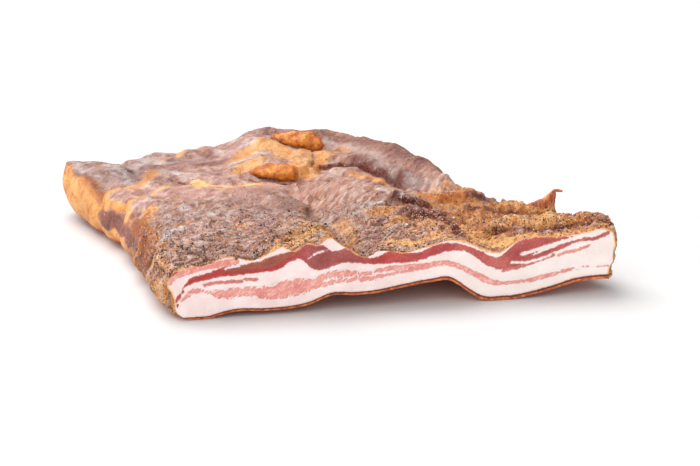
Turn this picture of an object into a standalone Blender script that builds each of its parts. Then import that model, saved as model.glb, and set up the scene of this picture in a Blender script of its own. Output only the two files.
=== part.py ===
"""A slab of smoked streaky bacon: cured pork belly on its rind, with one straight cut across the front.

X runs along the cut, Y back from it and Z up. The sizes below are millimetres in the slab's own
plan, whose zero is the left end of the cut on the table, and MM turns them into metres. At the end
the slab is moved so that the origin lies under the middle of its footprint.
"""

from collections import namedtuple

import bmesh
import bpy
import numpy as np
from mathutils import Vector

MM = 0.001

# Driving sizes
CUT_WIDTH = 270.0
MIDDLE_HEIGHT = 36.0
RIND_THICKNESS = 2.0
LEAST_LAYER = 0.7

# The cut's top and bottom edges, as (distance along the cut, height)
CUT_TOP = [
    (0, 27), (5, 31), (12, 32.5), (25, 35.3), (36, 37.6), (49, 34.8), (60, 39), (67, 41.8),
    (74, 38.6), (82, 43.4), (87, 41.6), (95, 46), (103, 40), (117, 33), (124, 36), (138, 34),
    (155, 37.2), (168, 40), (182, 36.2), (190, 32), (199, 30.8), (209, 36.8), (220, 39.2),
    (235, 38.4), (250, 39.6), (266, 41), (270, 39),
]
CUT_BOTTOM = [
    (0, 2.5), (4, 0.6), (7, 0), (22, 0), (28, 1.6), (36, 3.2), (57, 2.7), (70, 3), (82, 4.8), (96, 9.7),
    (110, 9), (122, 9.4), (138, 11.8), (157, 14.2), (168, 14.6), (174, 11), (181, 5.6), (189, 1),
    (193, 0), (207, 0), (220, 1.9), (236, 5.4), (246, 8.2), (256, 9.2), (270, 9.4),
]

# The cut's two ends, as (share of the height there, distance along the cut from its corner)
CUT_LEFT_END = [(0, 6), (0.12, 3.2), (0.35, 2.4), (0.6, 1), (0.78, -1.4), (0.92, -1), (1, 1.5)]
CUT_RIGHT_END = [(0, -1.2), (0.25, -0.9), (0.3, 0.2), (0.6, 1.4), (0.85, 1.6), (1, 0)]
END_REACH = 18.0
END_WIDTH = 26.0

# Where each layer of the cut ends, going up, as (distance along the cut, height)
LOWER_LEAN_FROM = [
    (0, 12), (10, 12.5), (20, 17), (30, 16), (45, 14), (66, 13.5), (84, 16), (104, 18), (125, 19),
    (143, 22), (160, 25), (172, 22), (185, 14), (200, 10.5), (225, 12.5), (250, 17), (270, 16.5),
]
LOWER_LEAN_TO = [
    (0, 15), (12, 17.5), (26, 21), (45, 21.5), (66, 24), (84, 27.5), (104, 28), (125, 27),
    (143, 28.5), (160, 29.5), (172, 26), (185, 18), (200, 14), (225, 15.5), (250, 19), (270, 18.5),
]
UPPER_LEAN_FROM = [
    (0, 16), (8, 20), (20, 24.5), (36, 28), (55, 30), (74, 36), (84, 37), (90, 31), (112, 30.5),
    (130, 31.5), (150, 33), (166, 36), (180, 31.5), (192, 24.5), (204, 23), (220, 27.5),
    (240, 33.5), (258, 38.5), (270, 37.5),
]
UPPER_LEAN_TO = [
    (0, 18), (10, 27), (20, 30.5), (36, 35.5), (49, 33.6), (67, 38.8), (82, 42), (95, 42.5),
    (103, 38.5), (117, 31.8), (124, 33.5), (138, 33), (155, 36.3), (168, 39), (182, 35.2),
    (190, 31.2), (199, 29.8), (209, 35.8), (220, 38.2), (240, 37.2), (258, 39.6), (270, 38.4),
]

# The plan's sides: how far left and right it reaches at each distance back from the cut, and how
# far back at each distance along it
LEFT_SIDE = [
    (0, 0), (8, -3), (18, -5), (50, -8.5), (90, -13), (125, -18.5), (160, -29), (200, -44.5),
    (225, -53), (250, -60),
]
RIGHT_SIDE = [
    (0, 270), (16, 272.5), (35, 267), (58, 256), (80, 241), (100, 226), (120, 215), (145, 210),
    (170, 207), (200, 203), (238, 199),
]
BACK_SIDE = [
    (-60, 250), (-25, 251), (2, 256), (30, 270), (62, 278), (92, 289), (125, 291), (160, 283),
    (185, 264), (199, 238),
]
BACK_CORNER_RADIUS = 16.0
OUTLINE_WAVE = 1.3
OUTLINE_WAVE_LENGTH = 34.0
OUTLINE_WAVE_FROM = 30.0

# How far the top rolls down at a side, and the underside up, at each distance along that side
LEFT_ROLL = [(0, 0), (12, 7), (40, 13), (90, 18), (130, 16), (165, 9), (200, 5), (245, 5)]
RIGHT_ROLL = [(0, 0), (28, 1), (50, 8), (90, 14), (150, 13), (240, 11)]
BACK_ROLL = 7.0
ROLL_REACH = 1.35
UNDER_ROLL = 6.0
UNDER_ROLL_FROM = 20.0
SIDE_BULGE = 3.0
BULGE_REACH = 25.0
LIFTED_CORNER = ((-60, 250), 11, 27)

# How quickly the shape of the cut's top edge dies away behind it, how far it drifts left on the
# way, and how quickly the folds take over
CUT_REACH = 60.0
CUT_DRIFT = 0.17
FOLDS_FROM = 25.0
ARCH_FADE = 0.55
SURFACE_WAVES = ((46.0, 1.5), (19.0, 0.8))

# A fold is a soft ridge, or a valley if its rise is negative, along a path in the plan. The two
# reaches are how far it spreads on the left and on the right of someone walking along the path.
Fold = namedtuple("Fold", "path rise left right")
FOLDS = {
    "big left muscle": Fold([(48, 30), (56, 90), (60, 140)], 4, 42, 34),
    "front left shoulder": Fold([(10, 22), (36, 42)], 2.5, 18, 18),
    "seam right of the big muscle": Fold([(117, 0), (106, 60), (104, 110), (101, 142)], -8, 9, 15),
    "split behind the big muscle": Fold([(18, 176), (34, 160), (56, 158)], -3.5, 5, 8),
    "left back muscle": Fold([(-28, 212), (10, 190)], 2.5, 26, 24),
    "groove across the left back": Fold([(-17, 250), (-9, 215), (-6, 180)], -2, 4, 5),
    "back left rise": Fold([(-12, 248), (2, 252)], 3, 9, 11),
    "back left hump": Fold([(36, 252), (44, 258)], 4.5, 8, 10),
    "back centre mound": Fold([(82, 216), (88, 262), (94, 276)], 10, 22, 26),
    "back centre peak": Fold([(82, 268), (96, 278)], 4, 9, 7),
    "bank behind the front flap": Fold([(70, 183), (86, 178), (100, 178)], 5.5, 20, 4),
    "bank behind the back flap": Fold([(106, 256), (124, 252)], 3, 14, 5),
    "back edge behind the flap": Fold([(118, 280), (130, 281)], 2, 9, 9),
    "middle lobe": Fold([(140, 40), (144, 110), (134, 170)], 3, 24, 26),
    "crack before the back lobe": Fold(
        [(118, 192), (132, 196), (144, 198), (153, 194), (160, 170), (170, 140)], -5, 3.5, 7,
    ),
    "back lobe edge": Fold(
        [(126, 212), (140, 212), (154, 210), (163, 194), (169, 170), (178, 146), (192, 130)], 5, 24, 7,
    ),
    "back lobe ridge": Fold([(148, 278), (163, 264), (176, 226), (187, 186), (194, 156)], 7, 13, 18),
    "dip before the right edge": Fold([(204, 124), (226, 96)], -3, 12, 8),
    "dark lump far": Fold([(153, 89), (168, 84)], 6, 6, 5),
    "orange rise on the right": Fold([(178, 98), (204, 97)], 4, 9, 6),
    "dark lump middle": Fold([(157, 61), (168, 57), (178, 47)], 6, 7, 5),
    "dark lump near": Fold([(172, 34), (177, 24)], 5.5, 5, 5),
    "right front ridge": Fold([(199, 29), (224, 27), (249, 22), (272, 17)], 8, 12, 7),
    "end of the front ridge": Fold([(268, 19), (286, 14)], 6, 7, 6),
    "right front dip": Fold([(216, 46), (262, 44)], -7, 12, 8),
    "right middle ridge": Fold([(196, 70), (224, 64), (250, 58)], 4, 8, 8),
    "right back ridge": Fold([(194, 102), (213, 92)], 3.5, 9, 7),
}

# Loose ends of fat and meat: a bent, tapering tongue through its centres, with its half width and
# half thickness at each of them, and the direction of its width
Tongue = namedtuple("Tongue", "centres half_widths half_thicknesses across")
TONGUES = {
    "front_fat_flap": Tongue(
        [(69, 177, 40.3), (77, 174, 42.4), (85, 170, 43), (95, 168, 42), (101, 169, 40.6)],
        [1.2, 4.2, 6, 6.4, 4.6], [1, 2.6, 3.6, 4, 3], (0.05, 0.8, 0.6),
    ),
    "back_fat_flap": Tongue(
        [(97, 258, 46), (106, 248, 47), (116, 242, 46.5), (125, 240, 45), (131, 243, 43)],
        [1.2, 4.6, 6.8, 7, 4.6], [1, 2.8, 4, 4.4, 3], (0.15, 0.75, 0.62),
    ),
    "round_fat_lump": Tongue(
        [(105, 184, 37), (110, 204, 39.5), (114, 226, 40)], [6, 8.5, 7], [4, 4.6, 3.6], (1, 0, 0),
    ),
    "dried_tip": Tongue(
        [(240, 64, 27), (244, 62, 35), (248, 60.5, 42), (250.5, 60, 47), (252.5, 60, 50), (257, 59.5, 49.6)],
        [15, 10, 5.2, 2.6, 1.2, 0.6], [3.6, 3, 2.2, 1.5, 1, 0.6], (0.98, -0.18, 0.1),
    ),
}
TONGUE_SQUARENESS = 0.75
TONGUE_SIDES = 14
TONGUE_STATIONS = 13

# The mesh: steps along the cut, steps back from it, how much closer the rows near it are, and the
# angle in degrees past which an edge is sharp
STEPS_ALONG = 50
STEPS_BACK = 40
FRONT_CROWDING = 0.45
SHARP_ANGLE = 50.0

LAYERS = ("rind", "fat", "lower_lean", "fat", "upper_lean", "fat")
COLOURS = {
    "crust": ((0.36, 0.19, 0.13), 0.75),
    "rind": ((0.33, 0.10, 0.03), 0.55),
    "fat": ((0.86, 0.74, 0.68), 0.4),
    "lower_lean": ((0.66, 0.30, 0.26), 0.4),
    "upper_lean": ((0.36, 0.09, 0.08), 0.4),
}


def curve(points):
    """A smooth function through the points, with its slopes taken from the neighbours."""
    at, values = np.array(points, float).T
    slopes = np.gradient(values, at)

    def read(x):
        x = np.clip(x, at[0], at[-1])
        i = np.clip(np.searchsorted(at, x) - 1, 0, len(at) - 2)
        span = at[i + 1] - at[i]
        t = (x - at[i]) / span
        ease = t * t * (3 - 2 * t)
        bend = t * (1 - t) * ((1 - t) * slopes[i] - t * slopes[i + 1]) * span
        return values[i] * (1 - ease) + values[i + 1] * ease + bend

    return read


cut_top, cut_bottom = curve(CUT_TOP), curve(CUT_BOTTOM)
layer_edges = [curve(edge) for edge in (LOWER_LEAN_FROM, LOWER_LEAN_TO, UPPER_LEAN_FROM, UPPER_LEAN_TO)]
left_side, right_side, back_side = curve(LEFT_SIDE), curve(RIGHT_SIDE), curve(BACK_SIDE)
left_roll, right_roll = curve(LEFT_ROLL), curve(RIGHT_ROLL)
left_end, right_end = curve(CUT_LEFT_END), curve(CUT_RIGHT_END)
LEFT_DEPTH, RIGHT_DEPTH = LEFT_SIDE[-1][0], RIGHT_SIDE[-1][0]
BACK_LEFT, BACK_RIGHT = BACK_SIDE[0][0], BACK_SIDE[-1][0]


def waves(x, y, length, seed):
    """Seeded lumps of about this wavelength, mostly between -1 and 1."""
    draw = np.random.default_rng(seed)
    total = np.zeros(np.broadcast(x, y).shape)
    for heading, phase, stretch in draw.random((9, 3)):
        k = 2 * np.pi / (length * (0.7 + 0.6 * stretch))
        turn = 2 * np.pi * heading
        total = total + np.sin(k * (x * np.cos(turn) + y * np.sin(turn)) + 2 * np.pi * phase)
    return total / 3


def plan_point(s, t):
    """The plan position for s along the cut and t back from it, both from 0 to 1, by a Coons patch."""
    left = left_side(t * LEFT_DEPTH), t * LEFT_DEPTH
    right = right_side(t * RIGHT_DEPTH), t * RIGHT_DEPTH
    front = s * CUT_WIDTH, 0 * s
    back_x = BACK_LEFT + s * (BACK_RIGHT - BACK_LEFT)
    back = back_x, back_side(back_x)
    corners = ((0, 0), (CUT_WIDTH, 0), (BACK_LEFT, LEFT_DEPTH), (BACK_RIGHT, RIGHT_DEPTH))
    return [
        (1 - s) * left[i] + s * right[i] + (1 - t) * front[i] + t * back[i]
        - (1 - s) * (1 - t) * corners[0][i] - s * (1 - t) * corners[1][i]
        - (1 - s) * t * corners[2][i] - s * t * corners[3][i]
        for i in (0, 1)
    ]


def round_corner(a, b, radius):
    """Moves distances from two sides that meet, so that the corner between them is round."""
    p, q = np.clip(1 - a / radius, 0, 1), np.clip(1 - b / radius, 0, 1)
    return a + radius * (p - p * np.sqrt(1 - q * q / 2)), b + radius * (q - q * np.sqrt(1 - p * p / 2))


def place(s, t):
    """(x, y, distance to the left, right and back sides) on the slab for s and t from 0 to 1."""
    x0, _ = plan_point(0 * s, t)
    x1, _ = plan_point(0 * s + 1, t)
    _, y1 = plan_point(s, 0 * t + 1)
    wide, deep = x1 - x0, y1
    to_left, to_right, to_back = s * wide, (1 - s) * wide, (1 - t) * deep
    left_in, back_in = round_corner(to_left, to_back, BACK_CORNER_RADIUS)
    right_in, also_back = round_corner(to_right, back_in, BACK_CORNER_RADIUS)
    s = s + (left_in - to_left - right_in + to_right) / wide
    t = t - (also_back - to_back) / deep
    x, y = plan_point(s, t)
    ragged = OUTLINE_WAVE * waves(x, y, OUTLINE_WAVE_LENGTH, 5) * np.clip(y / OUTLINE_WAVE_FROM, 0, 1)
    x = x + ragged * (2 * s - 1) ** 5
    y = y + ragged * t ** 9
    return x, y, left_in, right_in, also_back


def roll(distance, reach):
    """How far round a quarter turn a point this near a side is, from 0 inside to 1 at the side."""
    n = np.clip(1 - distance / np.maximum(reach, 0.01), 0, 1)
    return 1 - np.sqrt(np.maximum(1 - n * n, 0))


def from_path(x, y, path):
    """The distance to a path, and its side: positive on the left of someone walking along it."""
    nearest = np.full(np.shape(x), np.inf)
    side = np.ones(np.shape(x))
    for (x0, y0), (x1, y1) in zip(path, path[1:]):
        dx, dy = x1 - x0, y1 - y0
        along = np.clip(((x - x0) * dx + (y - y0) * dy) / (dx * dx + dy * dy), 0, 1)
        px, py = x - x0 - along * dx, y - y0 - along * dy
        distance = np.hypot(px, py)
        side = np.where(distance < nearest, dx * py - dy * px, side)
        nearest = np.minimum(distance, nearest)
    return nearest, side


def fold_height(x, y, fold):
    distance, side = from_path(x, y, fold.path)
    reach = np.where(side > 0, fold.left, fold.right)
    return fold.rise * np.exp(-((distance / reach) ** 2))


def top_height(x, y, to_left, to_right, to_back):
    behind = 1 - np.exp(-y / FOLDS_FROM)
    cut_part = (cut_top(np.clip(x + CUT_DRIFT * y, 0, CUT_WIDTH)) - MIDDLE_HEIGHT) * np.exp(-y / CUT_REACH)
    height = MIDDLE_HEIGHT + cut_part
    for fold in FOLDS.values():
        height = height + behind * fold_height(x, y, fold)
    for number, (length, size) in enumerate(SURFACE_WAVES):
        height = height + behind * size * waves(x, y, length, 11 + number)
    for distance, drop in ((to_left, left_roll(y)), (to_right, right_roll(y)), (to_back, BACK_ROLL)):
        height = height - drop * roll(distance, drop * ROLL_REACH)
    return height


def bottom_height(x, y, to_left, to_right, to_back):
    """The rind's underside: the arch of the cut, lower towards the back, with turned-up sides.

    Where the cut's bottom edge dips to the table it is flat, so the slab stands on two long feet.
    """
    depth = np.clip(y / LEFT_DEPTH, 0, 1)
    height = np.maximum(cut_bottom(np.clip(x, 0, CUT_WIDTH)), 0) * (1 - ARCH_FADE * depth)
    behind = np.clip(y / UNDER_ROLL_FROM, 0, 1)
    for distance in (to_left, to_right, to_back):
        height = np.maximum(height, behind * UNDER_ROLL * roll(distance, UNDER_ROLL * ROLL_REACH))
    (corner_x, corner_y), lift, reach = LIFTED_CORNER
    return height + lift * np.exp(-(((x - corner_x) ** 2 + (y - corner_y) ** 2) / reach ** 2))


def skin(s, t, up):
    """Points on the slab for s along the cut, t back from it and up from the rind, all from 0 to 1."""
    x, y, *sides = place(s, t)
    low, high = bottom_height(x, y, *sides), top_height(x, y, *sides)
    bulge = SIDE_BULGE * np.sin(np.pi * up) * np.clip(y / BULGE_REACH, 0, 1)
    at_cut = np.exp(-y / END_REACH)
    x = x + left_end(up) * at_cut * np.clip(1 - sides[0] / END_WIDTH, 0, 1) - bulge * (s < 0.001)
    x = x + right_end(up) * at_cut * np.clip(1 - sides[1] / END_WIDTH, 0, 1) + bulge * (s > 0.999)
    y = y + bulge * (t > 0.999)
    return np.column_stack((x, y, low + up * (high - low)))


def layer_shares(x):
    """How far up from the rind each row of a side is: in the same shares as the cut's layers."""
    at = np.clip(x, 0, CUT_WIDTH)
    floor_of, roof_of = np.maximum(cut_bottom(at), 0), cut_top(at)
    rows = [floor_of, floor_of + RIND_THICKNESS, *[edge(at) for edge in layer_edges], roof_of]
    for i in range(2, len(rows)):
        rows[i] = np.maximum(rows[i], rows[i - 1] + LEAST_LAYER)
    return [(row - rows[0]) / (rows[-1] - rows[0]) for row in rows]


def grid_box():
    """A unit box whose faces are grids: the primitive cube, cut along each axis in turn."""
    bm = bmesh.new()
    bmesh.ops.create_cube(bm, size=1.0)
    for axis, steps in enumerate((STEPS_ALONG, STEPS_BACK, len(LAYERS))):
        along = [
            edge for edge in bm.edges
            if abs(edge.verts[0].co[axis] - edge.verts[1].co[axis]) > 1e-4
        ]
        bmesh.ops.subdivide_edges(bm, edges=along, cuts=steps - 1, use_grid_fill=True)
    return bm


def shape_slab(bm):
    """Moves each point of the unit box to its place on the slab."""
    unit = np.array([vertex.co for vertex in bm.verts]) + 0.5
    s = unit[:, 0]
    t = unit[:, 1] * (FRONT_CROWDING + (1 - FRONT_CROWDING) * unit[:, 1])
    row = np.rint(unit[:, 2] * len(LAYERS)).astype(int)
    x = place(s, t)[0]
    points = skin(s, t, np.choose(row, layer_shares(x)))
    for vertex, point in zip(bm.verts, points * MM):
        vertex.co = point


def paint_layers(bm):
    """Gives each face its material: the layers on the cut, the rind below, and crust elsewhere."""
    names = list(COLOURS)
    for face in bm.faces:
        centre = face.calc_center_median() + Vector((0.5, 0.5, 0.5))
        name = "crust"
        if centre.y < 1e-4:
            name = LAYERS[int(centre.z * len(LAYERS))]
        elif centre.z < 1e-4:
            name = "rind"
        face.material_index = names.index(name)


def material(name):
    made = bpy.data.materials.new(name)
    colour, roughness = COLOURS[name]
    made.use_nodes = True
    shader = made.node_tree.nodes["Principled BSDF"]
    shader.inputs["Base Color"].default_value = (*colour, 1)
    shader.inputs["Roughness"].default_value = roughness
    made.diffuse_color = (*colour, 1)
    return made


def new_object(name, bm, collection):
    mesh = bpy.data.meshes.new(name)
    bm.to_mesh(mesh)
    bm.free()
    made = bpy.data.objects.new(name, mesh)
    collection.objects.link(made)
    return made


def build_slab(collection):
    bm = grid_box()
    paint_layers(bm)
    shape_slab(bm)
    slab = new_object("bacon_slab", bm, collection)
    for name in COLOURS:
        slab.data.materials.append(material(name))
    return slab


def build_tongue(name, tongue, collection):
    """A bent tapering body: rings of points round a smooth line through the tongue's centres."""
    along = np.linspace(0, len(tongue.centres) - 1, TONGUE_STATIONS)
    knots = range(len(tongue.centres))
    line = np.column_stack([curve(list(zip(knots, axis)))(along) for axis in zip(*tongue.centres)])
    widths = curve(list(zip(knots, tongue.half_widths)))(along)
    thicknesses = curve(list(zip(knots, tongue.half_thicknesses)))(along)
    turn = np.linspace(0, 2 * np.pi, TONGUE_SIDES, endpoint=False)[:, None]
    wide, thick = (np.sign(part) * np.abs(part) ** TONGUE_SQUARENESS for part in (np.cos(turn), np.sin(turn)))
    bm = bmesh.new()
    rings = []
    for station, forward in enumerate(np.gradient(line, axis=0)):
        forward = forward / np.linalg.norm(forward)
        across = np.array(tongue.across) - np.dot(tongue.across, forward) * forward
        across = across / np.linalg.norm(across)
        through = np.cross(forward, across)
        ring = line[station] + widths[station] * wide * across + thicknesses[station] * thick * through
        rings.append([bm.verts.new(point) for point in ring * MM])
    for low, high in zip(rings, rings[1:]):
        for side in range(TONGUE_SIDES):
            after = (side + 1) % TONGUE_SIDES
            bm.faces.new((low[side], low[after], high[after], high[side]))
    bm.faces.new(reversed(rings[0]))
    bm.faces.new(rings[-1])
    bmesh.ops.recalc_face_normals(bm, faces=bm.faces)
    return new_object(name, bm, collection)


def join_tongues(slab, collection):
    """Fuses the loose ends with the slab, and removes them."""
    union = slab.modifiers.new("loose ends", "BOOLEAN")
    union.operation = "UNION"
    union.operand_type = "COLLECTION"
    union.collection = collection
    union.solver = "EXACT"
    graph = bpy.context.evaluated_depsgraph_get()
    joined = bpy.data.meshes.new_from_object(slab.evaluated_get(graph))
    slab.modifiers.clear()
    slab.data = joined
    for made in list(collection.objects):
        bpy.data.objects.remove(made)
    bpy.data.collections.remove(collection)


def stand_on_origin(slab):
    """Moves the mesh so that the origin lies on the table, under the middle of the footprint."""
    points = np.array([vertex.co for vertex in slab.data.vertices])
    low, high = points.min(axis=0), points.max(axis=0)
    middle = (low + high) / 2
    for vertex in slab.data.vertices:
        vertex.co -= Vector((middle[0], middle[1], low[2]))


def main():
    for old in list(bpy.data.objects):
        bpy.data.objects.remove(old)
    bacon = bpy.data.collections.new("streaky bacon")
    loose = bpy.data.collections.new("loose ends")
    for collection in (bacon, loose):
        bpy.context.scene.collection.children.link(collection)
    slab = build_slab(bacon)
    for name, tongue in TONGUES.items():
        build_tongue(name, tongue, loose)
    join_tongues(slab, loose)
    stand_on_origin(slab)
    slab.data.shade_smooth()
    slab.data.set_sharp_from_angle(angle=np.radians(SHARP_ANGLE))


main()
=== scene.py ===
"""The looks of a slab of smoked streaky bacon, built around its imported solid.

The shapes are in millimetres in the slab's own plan, as in the part's source: X runs along the cut
from its left end, Y back from it and Z up. The functions that shape the slab are the same ones,
sampled more finely, and the crust's relief is added to them. to_frame turns them into metres.
"""

from collections import namedtuple

import bpy
import numpy as np
from mathutils import Euler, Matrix, Vector, geometry, noise


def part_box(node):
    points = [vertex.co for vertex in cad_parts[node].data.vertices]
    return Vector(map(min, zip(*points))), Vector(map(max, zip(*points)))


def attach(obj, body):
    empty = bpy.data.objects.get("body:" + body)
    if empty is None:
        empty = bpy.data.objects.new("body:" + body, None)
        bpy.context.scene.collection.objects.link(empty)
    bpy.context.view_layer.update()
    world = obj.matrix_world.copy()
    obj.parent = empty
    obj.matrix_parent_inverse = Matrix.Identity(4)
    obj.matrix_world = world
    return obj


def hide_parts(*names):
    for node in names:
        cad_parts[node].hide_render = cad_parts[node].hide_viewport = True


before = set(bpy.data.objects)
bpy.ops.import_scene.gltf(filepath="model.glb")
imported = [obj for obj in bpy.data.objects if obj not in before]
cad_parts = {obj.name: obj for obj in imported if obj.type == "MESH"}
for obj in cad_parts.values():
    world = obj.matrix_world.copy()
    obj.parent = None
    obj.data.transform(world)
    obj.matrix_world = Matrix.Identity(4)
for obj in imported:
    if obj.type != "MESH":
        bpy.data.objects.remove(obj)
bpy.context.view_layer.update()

MM = 0.001

# Driving sizes of the slab
CUT_WIDTH = 270.0
MIDDLE_HEIGHT = 36.0

# The cut's top and bottom edges, as (distance along the cut, height)
CUT_TOP = [
    (0, 27), (5, 31), (12, 32.5), (25, 35.3), (36, 37.6), (49, 34.8), (60, 39), (67, 41.8),
    (74, 38.6), (82, 43.4), (87, 41.6), (95, 46), (103, 40), (117, 33), (124, 36), (138, 34),
    (155, 37.2), (168, 40), (182, 36.2), (190, 32), (199, 30.8), (209, 36.8), (220, 39.2),
    (235, 38.4), (250, 39.6), (266, 41), (270, 39),
]
CUT_BOTTOM = [
    (0, 2.5), (4, 0.6), (7, 0), (22, 0), (28, 1.6), (36, 3.2), (57, 2.7), (70, 3), (82, 4.8), (96, 9.7),
    (110, 9), (122, 9.4), (138, 11.8), (157, 14.2), (168, 14.6), (174, 11), (181, 5.6), (189, 1),
    (193, 0), (207, 0), (220, 1.9), (236, 5.4), (246, 8.2), (256, 9.2), (270, 9.4),
]

# The cut's two ends, as (share of the height there, distance along the cut from its corner)
CUT_LEFT_END = [(0, 6), (0.12, 3.2), (0.35, 2.4), (0.6, 1), (0.78, -1.4), (0.92, -1), (1, 1.5)]
CUT_RIGHT_END = [(0, -1.2), (0.25, -0.9), (0.3, 0.2), (0.6, 1.4), (0.85, 1.6), (1, 0)]
END_REACH = 18.0
END_WIDTH = 26.0

# The plan's sides: how far left and right it reaches at each distance back from the cut, and how
# far back at each distance along it
LEFT_SIDE = [
    (0, 0), (8, -3), (18, -5), (50, -8.5), (90, -13), (125, -18.5), (160, -29), (200, -44.5),
    (225, -53), (250, -60),
]
RIGHT_SIDE = [
    (0, 270), (16, 272.5), (35, 267), (58, 256), (80, 241), (100, 226), (120, 215), (145, 210),
    (170, 207), (200, 203), (238, 199),
]
BACK_SIDE = [
    (-60, 250), (-25, 251), (2, 256), (30, 270), (62, 278), (92, 289), (125, 291), (160, 283),
    (185, 264), (199, 238),
]
BACK_CORNER_RADIUS = 16.0
OUTLINE_WAVE = 1.3
OUTLINE_WAVE_LENGTH = 34.0
OUTLINE_WAVE_FROM = 30.0

# How far the top rolls down at a side, and the underside up, at each distance along that side
LEFT_ROLL = [(0, 0), (12, 7), (40, 13), (90, 18), (130, 16), (165, 9), (200, 5), (245, 5)]
RIGHT_ROLL = [(0, 0), (28, 1), (50, 8), (90, 14), (150, 13), (240, 11)]
BACK_ROLL = 7.0
ROLL_REACH = 1.35
UNDER_ROLL = 6.0
UNDER_ROLL_FROM = 20.0
SIDE_BULGE = 3.0
BULGE_REACH = 25.0
LIFTED_CORNER = ((-60, 250), 11, 27)

# How quickly the shape of the cut's top edge dies away behind it, how far it drifts left on the
# way, how quickly the folds take over, and how much of the arch is gone at the back. The waves
# are soft lumps everywhere, as (length, height).
CUT_REACH = 60.0
CUT_DRIFT = 0.17
FOLDS_FROM = 25.0
ARCH_FADE = 0.55
SURFACE_WAVES = ((46.0, 1.5), (19.0, 0.8))

# A fold is a soft ridge, or a valley if its rise is negative, along a path in the plan. The two
# reaches are how far it spreads on the left and on the right of someone walking along the path.
Fold = namedtuple("Fold", "path rise left right")
FOLDS = {
    "big left muscle": Fold([(48, 30), (56, 90), (60, 140)], 4, 42, 34),
    "front left shoulder": Fold([(10, 22), (36, 42)], 2.5, 18, 18),
    "seam right of the big muscle": Fold([(117, 0), (106, 60), (104, 110), (101, 142)], -8, 9, 15),
    "split behind the big muscle": Fold([(18, 176), (34, 160), (56, 158)], -3.5, 5, 8),
    "left back muscle": Fold([(-28, 212), (10, 190)], 2.5, 26, 24),
    "groove across the left back": Fold([(-17, 250), (-9, 215), (-6, 180)], -2, 4, 5),
    "back left rise": Fold([(-12, 248), (2, 252)], 3, 9, 11),
    "back left hump": Fold([(36, 252), (44, 258)], 4.5, 8, 10),
    "back centre mound": Fold([(82, 216), (88, 262), (94, 276)], 10, 22, 26),
    "back centre peak": Fold([(82, 268), (96, 278)], 4, 9, 7),
    "bank behind the front flap": Fold([(70, 183), (86, 178), (100, 178)], 5.5, 20, 4),
    "bank behind the back flap": Fold([(106, 256), (124, 252)], 3, 14, 5),
    "back edge behind the flap": Fold([(118, 280), (130, 281)], 2, 9, 9),
    "middle lobe": Fold([(140, 40), (144, 110), (134, 170)], 3, 24, 26),
    "crack before the back lobe": Fold(
        [(118, 192), (132, 196), (144, 198), (153, 194), (160, 170), (170, 140)], -5, 3.5, 7,
    ),
    "back lobe edge": Fold(
        [(126, 212), (140, 212), (154, 210), (163, 194), (169, 170), (178, 146), (192, 130)], 5, 24, 7,
    ),
    "back lobe ridge": Fold([(148, 278), (163, 264), (176, 226), (187, 186), (194, 156)], 7, 13, 18),
    "dip before the right edge": Fold([(204, 124), (226, 96)], -3, 12, 8),
    "dark lump far": Fold([(153, 89), (168, 84)], 6, 6, 5),
    "orange rise on the right": Fold([(178, 98), (204, 97)], 4, 9, 6),
    "dark lump middle": Fold([(157, 61), (168, 57), (178, 47)], 6, 7, 5),
    "dark lump near": Fold([(172, 34), (177, 24)], 5.5, 5, 5),
    "right front ridge": Fold([(199, 29), (224, 27), (249, 22), (272, 17)], 8, 12, 7),
    "end of the front ridge": Fold([(268, 19), (286, 14)], 6, 7, 6),
    "right front dip": Fold([(216, 46), (262, 44)], -7, 12, 8),
    "right middle ridge": Fold([(196, 70), (224, 64), (250, 58)], 4, 8, 8),
    "right back ridge": Fold([(194, 102), (213, 92)], 3.5, 9, 7),
}

# Loose ends of fat and meat: a bent, tapering tongue through its centres, with its half width and
# half thickness at each of them, and the direction of its width
Tongue = namedtuple("Tongue", "centres half_widths half_thicknesses across")
TONGUES = {
    "front_fat_flap": Tongue(
        [(69, 177, 40.3), (77, 174, 42.4), (85, 170, 43), (95, 168, 42), (101, 169, 40.6)],
        [1.2, 4.2, 6, 6.4, 4.6], [1, 2.6, 3.6, 4, 3], (0.05, 0.8, 0.6),
    ),
    "back_fat_flap": Tongue(
        [(97, 258, 46), (106, 248, 47), (116, 242, 46.5), (125, 240, 45), (131, 243, 43)],
        [1.2, 4.6, 6.8, 7, 4.6], [1, 2.8, 4, 4.4, 3], (0.15, 0.75, 0.62),
    ),
    "round_fat_lump": Tongue(
        [(105, 184, 37), (110, 204, 39.5), (114, 226, 40)], [6, 8.5, 7], [4, 4.6, 3.6], (1, 0, 0),
    ),
    "dried_tip": Tongue(
        [
            (240, 64, 27), (244, 62, 35), (248, 60.5, 42), (250.5, 60, 47), (252.5, 60, 50),
            (257, 59.5, 49.6),
        ],
        [15, 10, 5.2, 2.6, 1.2, 0.6], [3.6, 3, 2.2, 1.5, 1, 0.6], (0.98, -0.18, 0.1),
    ),
}

# A tongue's cross-section is a little square, and its lumps are (feature size, height)
TONGUE_SQUARENESS = 0.75
TONGUE_LUMPS = ((8, 1.5), (3, 0.7), (1.2, 0.25))
TONGUE_SIDES = 36
TONGUE_STATIONS = 44

# How finely the skin is sampled: steps along, back and up, and how much closer the front rows are
SKIN_ALONG = 270
SKIN_BACK = 225
SKIN_UP = 16
SKIN_CROWDING = 0.4
CUT_ALONG = 380
CUT_UP = 52
RIND_STEPS = 44

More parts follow.
